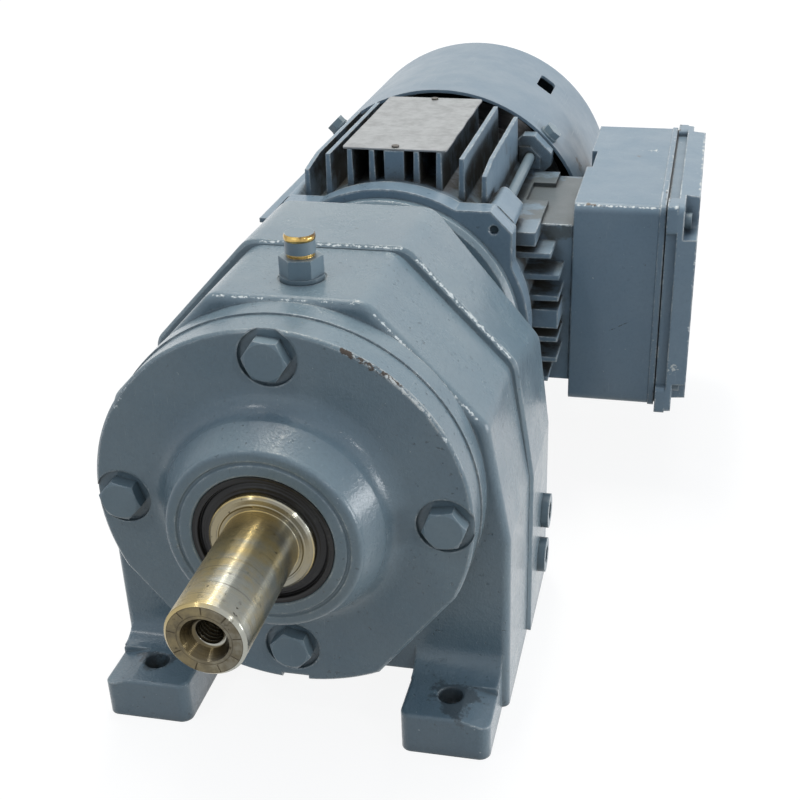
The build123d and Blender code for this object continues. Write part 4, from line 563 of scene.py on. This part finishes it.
painted = {name: paintMaterial(name, **look)[0] for name, look in paints.items()}

# the breather is painted over, but its bulging band and its groove are bare brass
breatherLook = {
    "band": (169.85, 172.0),
    "groove": (164.3, 165.45),
    "brass": (0.58, 0.40, 0.13),
    "tarnish": (0.13, 0.075, 0.025),
    "paint": {
        "edgeRadius": 0.0005, "rubAndSheen": 0.7, "cast": 0.1, "fine": 0.3, "chips": 0.6, "roughness": 0.36,
        "bump": 0.2,
    },
}


def breatherMaterial():
    material, tree, shader = paintMaterial("breatherPaint", **breatherLook["paint"])
    coords = addNode(tree, "ShaderNodeTexCoord").outputs["Object"]
    split = addNode(tree, "ShaderNodeSeparateXYZ")
    link(tree, coords, split.inputs[0])
    coat = shader.inputs["Base Color"].links[0].from_socket
    tarnished = rampNode(tree, noiseNode(tree, coords, 260.0, 5.0, 0.6), 0.4, 0.66)
    brass = mixColour(tree, tarnished, breatherLook["brass"], breatherLook["tarnish"])
    bare = None
    for low, high in (breatherLook["band"], breatherLook["groove"]):
        above = mathNode(tree, "GREATER_THAN", split.outputs["Z"], low * mm)
        below = mathNode(tree, "LESS_THAN", split.outputs["Z"], high * mm)
        ring = mathNode(tree, "MULTIPLY", above, below)
        bare = ring if bare is None else mathNode(tree, "MAXIMUM", bare, ring)
    link(tree, mixColour(tree, bare, coat, brass), shader.inputs["Base Color"])
    link(tree, bare, shader.inputs["Metallic"])
    rough = shader.inputs["Roughness"].links[0].from_socket
    link(
        tree,
        mathNode(tree, "SUBTRACT", rough, mathNode(tree, "MULTIPLY", bare, 0.18)),
        shader.inputs["Roughness"],
    )
    return material


breatherPaint = breatherMaterial()
print("paints mixed")

# turned steel of the shaft end: oily film, scored end face, threaded hole and ringed shoulder
shaftLook = {
    "steel": (0.37, 0.375, 0.335),
    "film": (0.43, 0.345, 0.170),
    "dull": (0.125, 0.108, 0.074),
    # dark stains, and the painted shade inside the hole
    "stainAndShade": (0.045, 0.035, 0.022),
    "tip": -141.1,
    "ticks": 9,
    "tickBand": (8.7, 11.4),
    "threadPitch": 1.5,
    "threadWall": 5.3,
    "mouth": 8.0,
    "holeEnd": -115,
    "journal": 12.7,
    "ridge": 14.3,
    "shoulderEnd": -90.5,
    "shoulderTint": (0.20, 0.19, 0.155),
    # the lighter thread crests are a painted highlight
    "crestHighlight": (0.42, 0.42, 0.38),
    "brushing": 0.85,
}


def shaftMaterial():
    material, tree, shader = startMaterial("turnedSteel", metallic=1.0, roughness=0.28)
    # the turning marks draw every highlight out along the shaft
    shader.inputs["Anisotropic"].default_value = shaftLook["brushing"]
    shader.inputs["Anisotropic Rotation"].default_value = 0.25
    link(
        tree,
        addNode(tree, "ShaderNodeTangent", direction_type="RADIAL", axis="Y").outputs[0],
        shader.inputs["Tangent"],
    )
    coords = addNode(tree, "ShaderNodeTexCoord").outputs["Object"]
    split = addNode(tree, "ShaderNodeSeparateXYZ")
    link(tree, coords, split.inputs[0])
    across, along = split.outputs["X"], split.outputs["Y"]
    up = mathNode(tree, "SUBTRACT", split.outputs["Z"], shaftHeight)
    squares = mathNode(
        tree, "ADD", mathNode(tree, "MULTIPLY", across, across), mathNode(tree, "MULTIPLY", up, up),
    )
    radius = mathNode(tree, "SQRT", squares)
    angle = mathNode(tree, "ARCTAN2", up, across)
    # fine turning marks round the journal
    stretched = addNode(tree, "ShaderNodeMapping")
    stretched.inputs["Scale"].default_value = (40.0, 3500.0, 40.0)
    link(tree, coords, stretched.inputs["Vector"])
    turning = noiseNode(tree, stretched.outputs[0], 1.0, 2.0, 0.6)
    smear = addNode(tree, "ShaderNodeMapping")
    smear.inputs["Scale"].default_value = (55.0, 90.0, 55.0)
    link(tree, coords, smear.inputs["Vector"])
    # the oily film is thickest near the shoulder and on the side away from the terminal box
    slide = rampNode(tree, along, -0.142, -0.092, 0.0, 0.16)
    lean = rampNode(tree, across, -0.010, 0.008, 0.18, -0.05)
    filmNoise = mathNode(
        tree,
        "ADD",
        noiseNode(tree, smear.outputs[0], 1.0, 5.0, 0.6),
        mathNode(tree, "ADD", slide, lean),
    )
    filmMask = rampNode(tree, filmNoise, 0.42, 0.72)
    stainMask = rampNode(tree, noiseNode(tree, coords, 210.0, 6.0, 0.7), 0.58, 0.72, 0.0, 0.7)
    specks = rampNode(tree, noiseNode(tree, coords, 480.0, 2.0, 0.4), 0.70, 0.76, 0.0, 0.85)
    colour = mixColour(tree, filmMask, shaftLook["steel"], shaftLook["film"])
    # faint scratches round the journal
    worn = addNode(tree, "ShaderNodeMapping")
    worn.inputs["Rotation"].default_value = (0.0, 0.0, 0.35)
    worn.inputs["Scale"].default_value = (30.0, 900.0, 30.0)
    link(tree, coords, worn.inputs["Vector"])
    lines = rampNode(tree, noiseNode(tree, worn.outputs[0], 1.0, 4.0, 0.7), 0.56, 0.68, 0.0, 0.55)
    colour = mixColour(tree, lines, colour, shaftLook["dull"])
    # the end face is dull, with two ring grooves and short scored lines
    low, high = shaftLook["tickBand"]
    face = mathNode(tree, "LESS_THAN", along, (shaftLook["tip"] + 0.03) * mm)
    wave = mathNode(
        tree,
        "COSINE",
        mathNode(
            tree, "MULTIPLY", mathNode(tree, "SUBTRACT", angle, math.radians(10)), shaftLook["ticks"],
        ),
    )
    tickLine = rampNode(tree, wave, 0.975, 0.995)
    inBand = mathNode(
        tree,
        "MULTIPLY",
        mathNode(tree, "GREATER_THAN", radius, low * mm),
        mathNode(tree, "LESS_THAN", radius, high * mm),
    )
    tick = mathNode(tree, "MULTIPLY", tickLine, inBand)
    rings = None
    for ring in (low - 0.3, high + 0.1):
        off = mathNode(tree, "ABSOLUTE", mathNode(tree, "SUBTRACT", radius, ring * mm))
        line = rampNode(tree, off, 0.00008, 0.00025, 1.0, 0.0)
        rings = line if rings is None else mathNode(tree, "MAXIMUM", rings, line)
    scored = mathNode(
        tree, "MULTIPLY", mathNode(tree, "MAXIMUM", tick, mathNode(tree, "MULTIPLY", rings, 0.6)), face,
    )
    dullNoise = rampNode(tree, noiseNode(tree, coords, 330.0, 5.0, 0.65), 0.3, 0.7, 0.7, 1.0)
    colour = mixColour(tree, mathNode(tree, "MULTIPLY", face, dullNoise), colour, shaftLook["dull"])
    # painted shade darkens the hole and its mouth, and its wall carries the thread
    inside = mathNode(
        tree,
        "MULTIPLY",
        mathNode(tree, "LESS_THAN", along, shaftLook["holeEnd"] * mm),
        mathNode(tree, "SUBTRACT", 1.0, face),
    )
    inHole = mathNode(
        tree, "MULTIPLY", mathNode(tree, "LESS_THAN", radius, shaftLook["threadWall"] * mm), inside,
    )
    inMouth = mathNode(
        tree, "MULTIPLY", mathNode(tree, "LESS_THAN", radius, shaftLook["mouth"] * mm), inside,
    )
    colour = mixColour(tree, mathNode(tree, "MULTIPLY", inMouth, 0.82), colour, shaftLook["stainAndShade"])
    lead = mathNode(
        tree,
        "ADD",
        mathNode(tree, "DIVIDE", along, shaftLook["threadPitch"] * mm),
        mathNode(tree, "DIVIDE", angle, 2 * math.pi),
    )
    thread = mathNode(tree, "MULTIPLY", mathNode(tree, "PINGPONG", lead, 0.5), inHole)
    # lighter thread crests over the dark hole, a painted highlight
    colour = mixColour(tree, rampNode(tree, thread, 0.30, 0.44, 0.0, 0.85), colour, shaftLook["crestHighlight"])
    # the shoulder is paler and ringed
    onShoulder = mathNode(
        tree,
        "MULTIPLY",
        mathNode(tree, "GREATER_THAN", radius, shaftLook["journal"] * mm),
        mathNode(tree, "LESS_THAN", along, shaftLook["shoulderEnd"] * mm),
    )
    colour = mixColour(
        tree, mathNode(tree, "MULTIPLY", onShoulder, 0.7), colour, shaftLook["shoulderTint"],
    )
    ridge = rampNode(
        tree,
        mathNode(tree, "ABSOLUTE", mathNode(tree, "SUBTRACT", radius, shaftLook["ridge"] * mm)),
        0.0001,
        0.0006,
        1.0,
        0.0,
    )
    colour = mixColour(
        tree,
        mathNode(tree, "MULTIPLY", mathNode(tree, "MAXIMUM", scored, stainMask), 0.8),
        colour,
        shaftLook["stainAndShade"],
    )
    link(tree, mixColour(tree, specks, colour, shaftLook["stainAndShade"]), shader.inputs["Base Color"])
    rough = rampNode(tree, filmMask, 0.0, 1.0, 0.22, 0.25)
    link(
        tree,
        mathNode(tree, "ADD", rough, mathNode(tree, "MULTIPLY", face, 0.2)),
        shader.inputs["Roughness"],
    )
    edges = placeGroup(tree, edgeGroup, Radius=0.0005, Breakup=0.3, Scale=200.0)
    bump = addNode(tree, "ShaderNodeBump")
    bump.inputs["Strength"].default_value = 0.9
    bump.inputs["Distance"].default_value = 0.0008
    relief = mathNode(
        tree,
        "ADD",
        thread,
        mathNode(tree, "MULTIPLY", mathNode(tree, "MULTIPLY", ridge, onShoulder), 0.4),
    )
    link(
        tree,
        mathNode(tree, "SUBTRACT", relief, mathNode(tree, "MULTIPLY", scored, 0.25)),
        bump.inputs["Height"],
    )
    link(tree, edges.outputs["Normal"], bump.inputs["Normal"])
    bumpFrom(tree, shader, turning, 0.5, 0.00008, bump.outputs[0])
    return material


# the lip seal has moulded ridges round the shaft
sealLook = {"rubber": (0.011, 0.011, 0.012), "dust": (0.07, 0.068, 0.06), "ridges": 1.35}


def sealMaterial():
    material, tree, shader = startMaterial("sealRubber", roughness=0.3, coat=0.1, specular=0.25)
    coords = addNode(tree, "ShaderNodeTexCoord").outputs["Object"]
    split = addNode(tree, "ShaderNodeSeparateXYZ")
    link(tree, coords, split.inputs[0])
    up = mathNode(tree, "SUBTRACT", split.outputs["Z"], shaftHeight)
    across = split.outputs["X"]
    radius = mathNode(
        tree,
        "SQRT",
        mathNode(
            tree, "ADD", mathNode(tree, "MULTIPLY", across, across), mathNode(tree, "MULTIPLY", up, up),
        ),
    )
    wave = mathNode(
        tree, "SINE", mathNode(tree, "MULTIPLY", radius, 2 * math.pi / (sealLook["ridges"] * mm)),
    )
    dustMask = rampNode(tree, noiseNode(tree, coords, 300.0, 6.0, 0.7), 0.55, 0.75, 0.0, 0.6)
    link(
        tree,
        mixColour(tree, dustMask, sealLook["rubber"], sealLook["dust"]),
        shader.inputs["Base Color"],
    )
    link(tree, rampNode(tree, dustMask, 0.0, 1.0, 0.28, 0.6), shader.inputs["Roughness"])
    edges = placeGroup(tree, edgeGroup, Radius=0.0004, Breakup=0.4, Scale=200.0)
    bumpFrom(tree, shader, wave, 0.3, 0.00025, edges.outputs["Normal"])
    return material


def plainMaterial(name, colour, dark, roughness, metallic=1.0, grain=900.0, bump=0.2):
    material, tree, shader = startMaterial(name, metallic=metallic, roughness=roughness)
    coords = addNode(tree, "ShaderNodeTexCoord").outputs["Object"]
    dirtAndShade = placeGroup(tree, grimeAndShadeGroup, Reach=0.004, Amount=0.6)
    edges = placeGroup(tree, edgeGroup, Radius=0.0004, Breakup=0.5, Scale=200.0)
    mottled = rampNode(tree, noiseNode(tree, coords, 120.0, 6.0, 0.65), 0.35, 0.7)
    worn = mixColour(tree, mottled, colour, [c * 0.72 for c in colour])
    # grime and painted shade darken the corners
    link(tree, mixColour(tree, dirtAndShade.outputs["Mask"], worn, dark), shader.inputs["Base Color"])
    link(
        tree,
        rampNode(
            tree, noiseNode(tree, coords, 240.0, 4.0), 0.3, 0.7, roughness - 0.06, roughness + 0.12,
        ),
        shader.inputs["Roughness"],
    )
    bumpFrom(
        tree, shader, noiseNode(tree, coords, grain, 3.0, 0.6), bump, 0.0001, edges.outputs["Normal"],
    )
    return material


metalLooks = {
    "zincSteel": {"colour": (0.52, 0.52, 0.50), "dark": (0.06, 0.055, 0.05), "roughness": 0.34},
    "gearSteel": {"colour": (0.42, 0.42, 0.43), "dark": (0.05, 0.04, 0.03), "roughness": 0.26},
    "ringSteel": {
        "colour": (0.60, 0.60, 0.61), "dark": (0.06, 0.05, 0.04), "roughness": 0.16,
        "grain": 2500.0, "bump": 0.08,
    },
    "ironSheets": {"colour": (0.25, 0.25, 0.26), "dark": (0.03, 0.03, 0.03), "roughness": 0.45},
    "brassMetal": {"colour": (0.62, 0.45, 0.16), "dark": (0.10, 0.07, 0.02), "roughness": 0.24},
    "copperWire": {"colour": (0.50, 0.20, 0.08), "dark": (0.06, 0.02, 0.01), "roughness": 0.35},
    "frictionLining": {
        "colour": (0.11, 0.085, 0.06), "dark": (0.03, 0.02, 0.02), "roughness": 0.8,
        "metallic": 0.0, "grain": 1400.0, "bump": 0.6,
    },
    "blackPlastic": {
        "colour": (0.02, 0.02, 0.022), "dark": (0.005, 0.005, 0.005), "roughness": 0.42,
        "metallic": 0.0,
    },
    "plateSilver": {
        "colour": (0.37, 0.38, 0.385), "dark": (0.20, 0.20, 0.20), "roughness": 0.40,
        "metallic": 0.35, "grain": 1800.0, "bump": 0.12,
    },
    "rivetSteel": {"colour": (0.16, 0.15, 0.14), "dark": (0.03, 0.03, 0.03), "roughness": 0.4},
}
plain = {name: plainMaterial(name, **look) for name, look in metalLooks.items()}
turnedSteel = shaftMaterial()
sealRubber = sealMaterial()
print("metals, rubber and plastics mixed")

finishes = {
    painted["castPaint"]: ["gear_housing", "output_cover", "motor_adapter"],
    painted["flangePaint"]: ["motor_flange"],
    painted["finPaint"]: ["stator_housing", "rear_shield"],
    painted["sheetPaint"]: ["fan_guard"],
    painted["boxPaint"]: ["terminal_box_base", "terminal_box_lid"],
    painted["boltPaint"]: [
        "cover_screws",
        "oil_plugs",
        "blanking_plugs",
        "tie_rods",
        "adapter_screws",
        "flange_screws",
        "guard_screws",
        "lid_screws",
    ],
    breatherPaint: ["breather_cap", "breather_body"],
    turnedSteel: ["output_shaft"],
    plain["zincSteel"]: ["brake_bolts"],
    plain["rivetSteel"]: ["nameplate_rivets"],
    plain["gearSteel"]: [
        "output_wheel", "layshaft", "layshaft_wheel", "rotor_shaft", "input_pinion", "brake_hub",
    ],
    plain["ringSteel"]: [name for name in nodes if "bearing" in name],
    plain["ironSheets"]: ["stator_core", "rotor_core", "brake_magnet", "brake_armature"],
    sealRubber: ["output_seal", "input_seal", "terminal_box_gasket"],
    plain["brassMetal"]: ["terminal_studs"],
    plain["copperWire"]: ["stator_windings", "brake_coil"],
    plain["frictionLining"]: ["brake_disc"],
    plain["blackPlastic"]: ["fan", "terminal_board", "brake_rectifier"],
    plain["plateSilver"]: ["nameplate"],
}
for material, names in finishes.items():
    for name in names:
        nodes[name].data.materials.clear()
        nodes[name].data.materials.append(material)
for node in nodes.values():
    node.data.polygons.foreach_set("use_smooth", [True] * len(node.data.polygons))
    node.data.set_sharp_from_angle(angle=math.radians(25))
print("finishes on", sum(len(names) for names in finishes.values()), "nodes")

# blank rating plate: thin sheet metal, a little bowed between its rivets, with a wavy right edge
plate = {
    "columns": 24,
    "rows": 48,
    "bow": 0.25 * mm,
    "wave": 0.35 * mm,
    "corner": 1.6 * mm,
    "rivetFlat": 5 * mm,
}


def makePlate():
    low, high = (Vector(corner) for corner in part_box("nameplate"))
    width, length, _ = high - low
    middle = (low + high) / 2
    columns, rows = plate["columns"], plate["rows"]
    points, faces = [], []
    for level in (0, 1):
        for row in range(rows + 1):
            v = row / rows
            for column in range(columns + 1):
                u = column / columns
                x = low.x + u * width
                y = low.y + v * length
                # rounded corners
                inX = max(0, abs(x - middle.x) - (width / 2 - plate["corner"]))
                inY = max(0, abs(y - middle.y) - (length / 2 - plate["corner"]))
                over = math.hypot(inX, inY)
                if over > plate["corner"]:
                    x -= math.copysign(inX * (1 - plate["corner"] / over), x - middle.x)
                    y -= math.copysign(inY * (1 - plate["corner"] / over), y - middle.y)
                edge = u ** 6
                x -= plate["wave"] * edge * (0.5 + 0.5 * math.sin(v * 23 + 1.2)) * math.sin(math.pi * v)
                near = min(1, abs(y - low.y) / plate["rivetFlat"], abs(high.y - y) / plate["rivetFlat"])
                lift = plate["bow"] * near * (
                    0.45 + 0.3 * math.sin(v * 9.2) + 0.25 * math.sin(u * 5.1 + v * 4)
                )
                if level:
                    z = high.z - plate["bow"] * near + lift * 0.9
                else:
                    z = low.z + 0.02 * mm
                points.append((x, y, z))
    top = (rows + 1) * (columns + 1)
    for row in range(rows):
        for column in range(columns):
            a = row * (columns + 1) + column
            b, c, d = a + 1, a + columns + 2, a + columns + 1
            faces.append((top + a, top + b, top + c, top + d))
            faces.append((d, c, b, a))
    for row in range(rows):
        for column, flip in ((0, True), (columns, False)):
            a = row * (columns + 1) + column
            d = a + columns + 1
            quad = (a, d, top + d, top + a)
            faces.append(quad if not flip else quad[::-1])
    for column in range(columns):
        for row, flip in ((0, False), (rows, True)):
            a = row * (columns + 1) + column
            quad = (a, a + 1, top + a + 1, top + a)
            faces.append(quad if not flip else quad[::-1])
    mesh = bpy.data.meshes.new("ratingPlate")
    mesh.from_pydata(points, [], faces)
    mesh.materials.append(plain["plateSilver"])
    mesh.polygons.foreach_set("use_smooth", [True] * len(mesh.polygons))
    mesh.set_sharp_from_angle(angle=math.radians(40))
    piece = bpy.data.objects.new("ratingPlate", mesh)
    bpy.context.scene.collection.objects.link(piece)
    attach(piece, "frame")
    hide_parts("nameplate")


makePlate()
print("rating plate bent and laid on the fins")

# floor and daylight
studio = {
    "floorHalf": 6.0,
    "floorColour": (0.34, 0.32, 0.28),
    "seenWhite": 0.90,
    "seenDiffuse": 0.14,
    "whiteFrom": 0.35,
    "whiteFull": 1.2,
    "skyColour": (0.64, 0.90, 1.20),
    "skyStrength": 0.26,
}
lamps = {
    "key": {
        "place": (-0.12, 0.42, 1.22), "target": (0, 0.05, 0.1), "size": (1.0, 1.0),
        "power": 7.1, "colour": (1.0, 0.99, 0.97),
    },
    # a narrow window overhead draws the bright streak along the shaft
    "window": {
        "place": (-0.07, 0.28, 1.10), "target": (0, -0.1, 0.1), "size": (0.10, 0.40),
        "power": 4.2, "colour": (1.0, 0.94, 0.80),
    },
    # two small lamps make the sparkle on the flare of the cover
    "glintLeft": {
        "place": (-0.52, -0.51, 0.99), "target": (0, -0.08, 0.12), "size": (0.06, 0.09),
        "power": 0.9, "colour": (1.0, 0.99, 0.97),
    },
    "glintRight": {
        "place": (0.81, -0.64, 0.64), "target": (0, -0.08, 0.12), "size": (0.06, 0.09),
        "power": 0.9, "colour": (1.0, 0.99, 0.97),
    },
    "fill": {
        "place": (-0.5, -1.2, 0.6), "target": (0, 0, 0.1), "size": (0.8, 0.8),
        "power": 1.3, "colour": (0.85, 0.95, 1.0),
    },
    "side": {
        "place": (1.2, 0.05, 0.16), "target": (0.08, 0.05, 0.09), "size": (0.7, 0.28),
        "power": 7.0, "colour": (0.96, 0.98, 1.0),
    },
}
cameraView = {
    "sensor": 36,
    "lens": 57.804,
    "shift": (-0.045, 0.0575),
    "place": (0.12676, -0.41264, 0.31101),
    "turn": (61.291, 1.073, 11.603),
}


# one for every ray that shows the background: seen straight on, in a reflection or through glass
def backgroundRays(tree):
    path = addNode(tree, "ShaderNodeLightPath")
    seen = mathNode(tree, "MAXIMUM", path.outputs["Is Camera Ray"], path.outputs["Is Glossy Ray"])
    return mathNode(tree, "MAXIMUM", seen, path.outputs["Is Transmission Ray"])


def makeFloor():
    mesh = bpy.data.meshes.new("floor")
    half = studio["floorHalf"]
    mesh.from_pydata(
        [(-half, -half, 0), (half, -half, 0), (half, half, 0), (-half, half, 0)], [], [(0, 1, 2, 3)],
    )
    floor = bpy.data.objects.new("floor", mesh)
    bpy.context.scene.collection.objects.link(floor)
    material = bpy.data.materials.new("paleFloor")
    material.use_nodes = True
    tree = material.node_tree
    tree.nodes.clear()
    ground = addNode(tree, "ShaderNodeBsdfDiffuse")
    ground.inputs["Color"].default_value = (*studio["floorColour"], 1)
    # the white that shows keeps a share of real light, so the shadow stays
    glow = addNode(tree, "ShaderNodeEmission")
    place = addNode(tree, "ShaderNodeVectorMath", operation="LENGTH")
    link(tree, addNode(tree, "ShaderNodeTexCoord").outputs["Object"], place.inputs[0])
    # pure white farther out
    link(
        tree,
        rampNode(
            tree,
            place.outputs["Value"],
            studio["whiteFrom"],
            studio["whiteFull"],
            studio["seenWhite"],
            1.0,
        ),
        glow.inputs["Strength"],
    )
    shaded = addNode(tree, "ShaderNodeBsdfDiffuse")
    shaded.inputs["Color"].default_value = (*[studio["seenDiffuse"]] * 3, 1)
    white = addNode(tree, "ShaderNodeAddShader")
    link(tree, glow.outputs[0], white.inputs[0])
    link(tree, shaded.outputs[0], white.inputs[1])
    mix = addNode(tree, "ShaderNodeMixShader")
    link(tree, backgroundRays(tree), mix.inputs[0])
    link(tree, ground.outputs[0], mix.inputs[1])
    link(tree, white.outputs[0], mix.inputs[2])
    link(tree, mix.outputs[0], addNode(tree, "ShaderNodeOutputMaterial").inputs[0])
    mesh.materials.append(material)


def makeWorld():
    world = bpy.data.worlds.new("studio")
    world.use_nodes = True
    bpy.context.scene.world = world
    tree = world.node_tree
    tree.nodes.clear()
    lit = addNode(tree, "ShaderNodeBackground")
    lit.inputs[0].default_value = (*studio["skyColour"], 1)
    lit.inputs[1].default_value = studio["skyStrength"]
    seen = addNode(tree, "ShaderNodeBackground")
    seen.inputs[0].default_value = (1, 1, 1, 1)
    mix = addNode(tree, "ShaderNodeMixShader")
    link(tree, backgroundRays(tree), mix.inputs[0])
    link(tree, lit.outputs[0], mix.inputs[1])
    link(tree, seen.outputs[0], mix.inputs[2])
    link(tree, mix.outputs[0], addNode(tree, "ShaderNodeOutputWorld").inputs[0])


def makeLamp(name, place, target, size, power, colour):
    data = bpy.data.lights.new(name, "AREA")
    data.shape = "RECTANGLE"
    data.size, data.size_y = size
    data.energy = power
    data.color = colour
    lamp = bpy.data.objects.new(name, data)
    lamp.location = place
    lamp.rotation_euler = (Vector(target) - Vector(place)).to_track_quat("-Z", "Y").to_euler()
    bpy.context.scene.collection.objects.link(lamp)


def makeCamera():
    data = bpy.data.cameras.new("camera")
    data.sensor_width = cameraView["sensor"]
    data.lens = cameraView["lens"]
    data.shift_x, data.shift_y = cameraView["shift"]
    data.clip_start = 0.01
    camera = bpy.data.objects.new("camera", data)
    camera.location = cameraView["place"]
    camera.rotation_euler = [math.radians(a) for a in cameraView["turn"]]
    bpy.context.scene.collection.objects.link(camera)
    bpy.context.scene.camera = camera


makeFloor()
makeWorld()
for lampName, lamp in lamps.items():
    makeLamp(lampName, **lamp)
makeCamera()
bpy.context.scene.view_settings.view_transform = "Standard"
print("studio set")
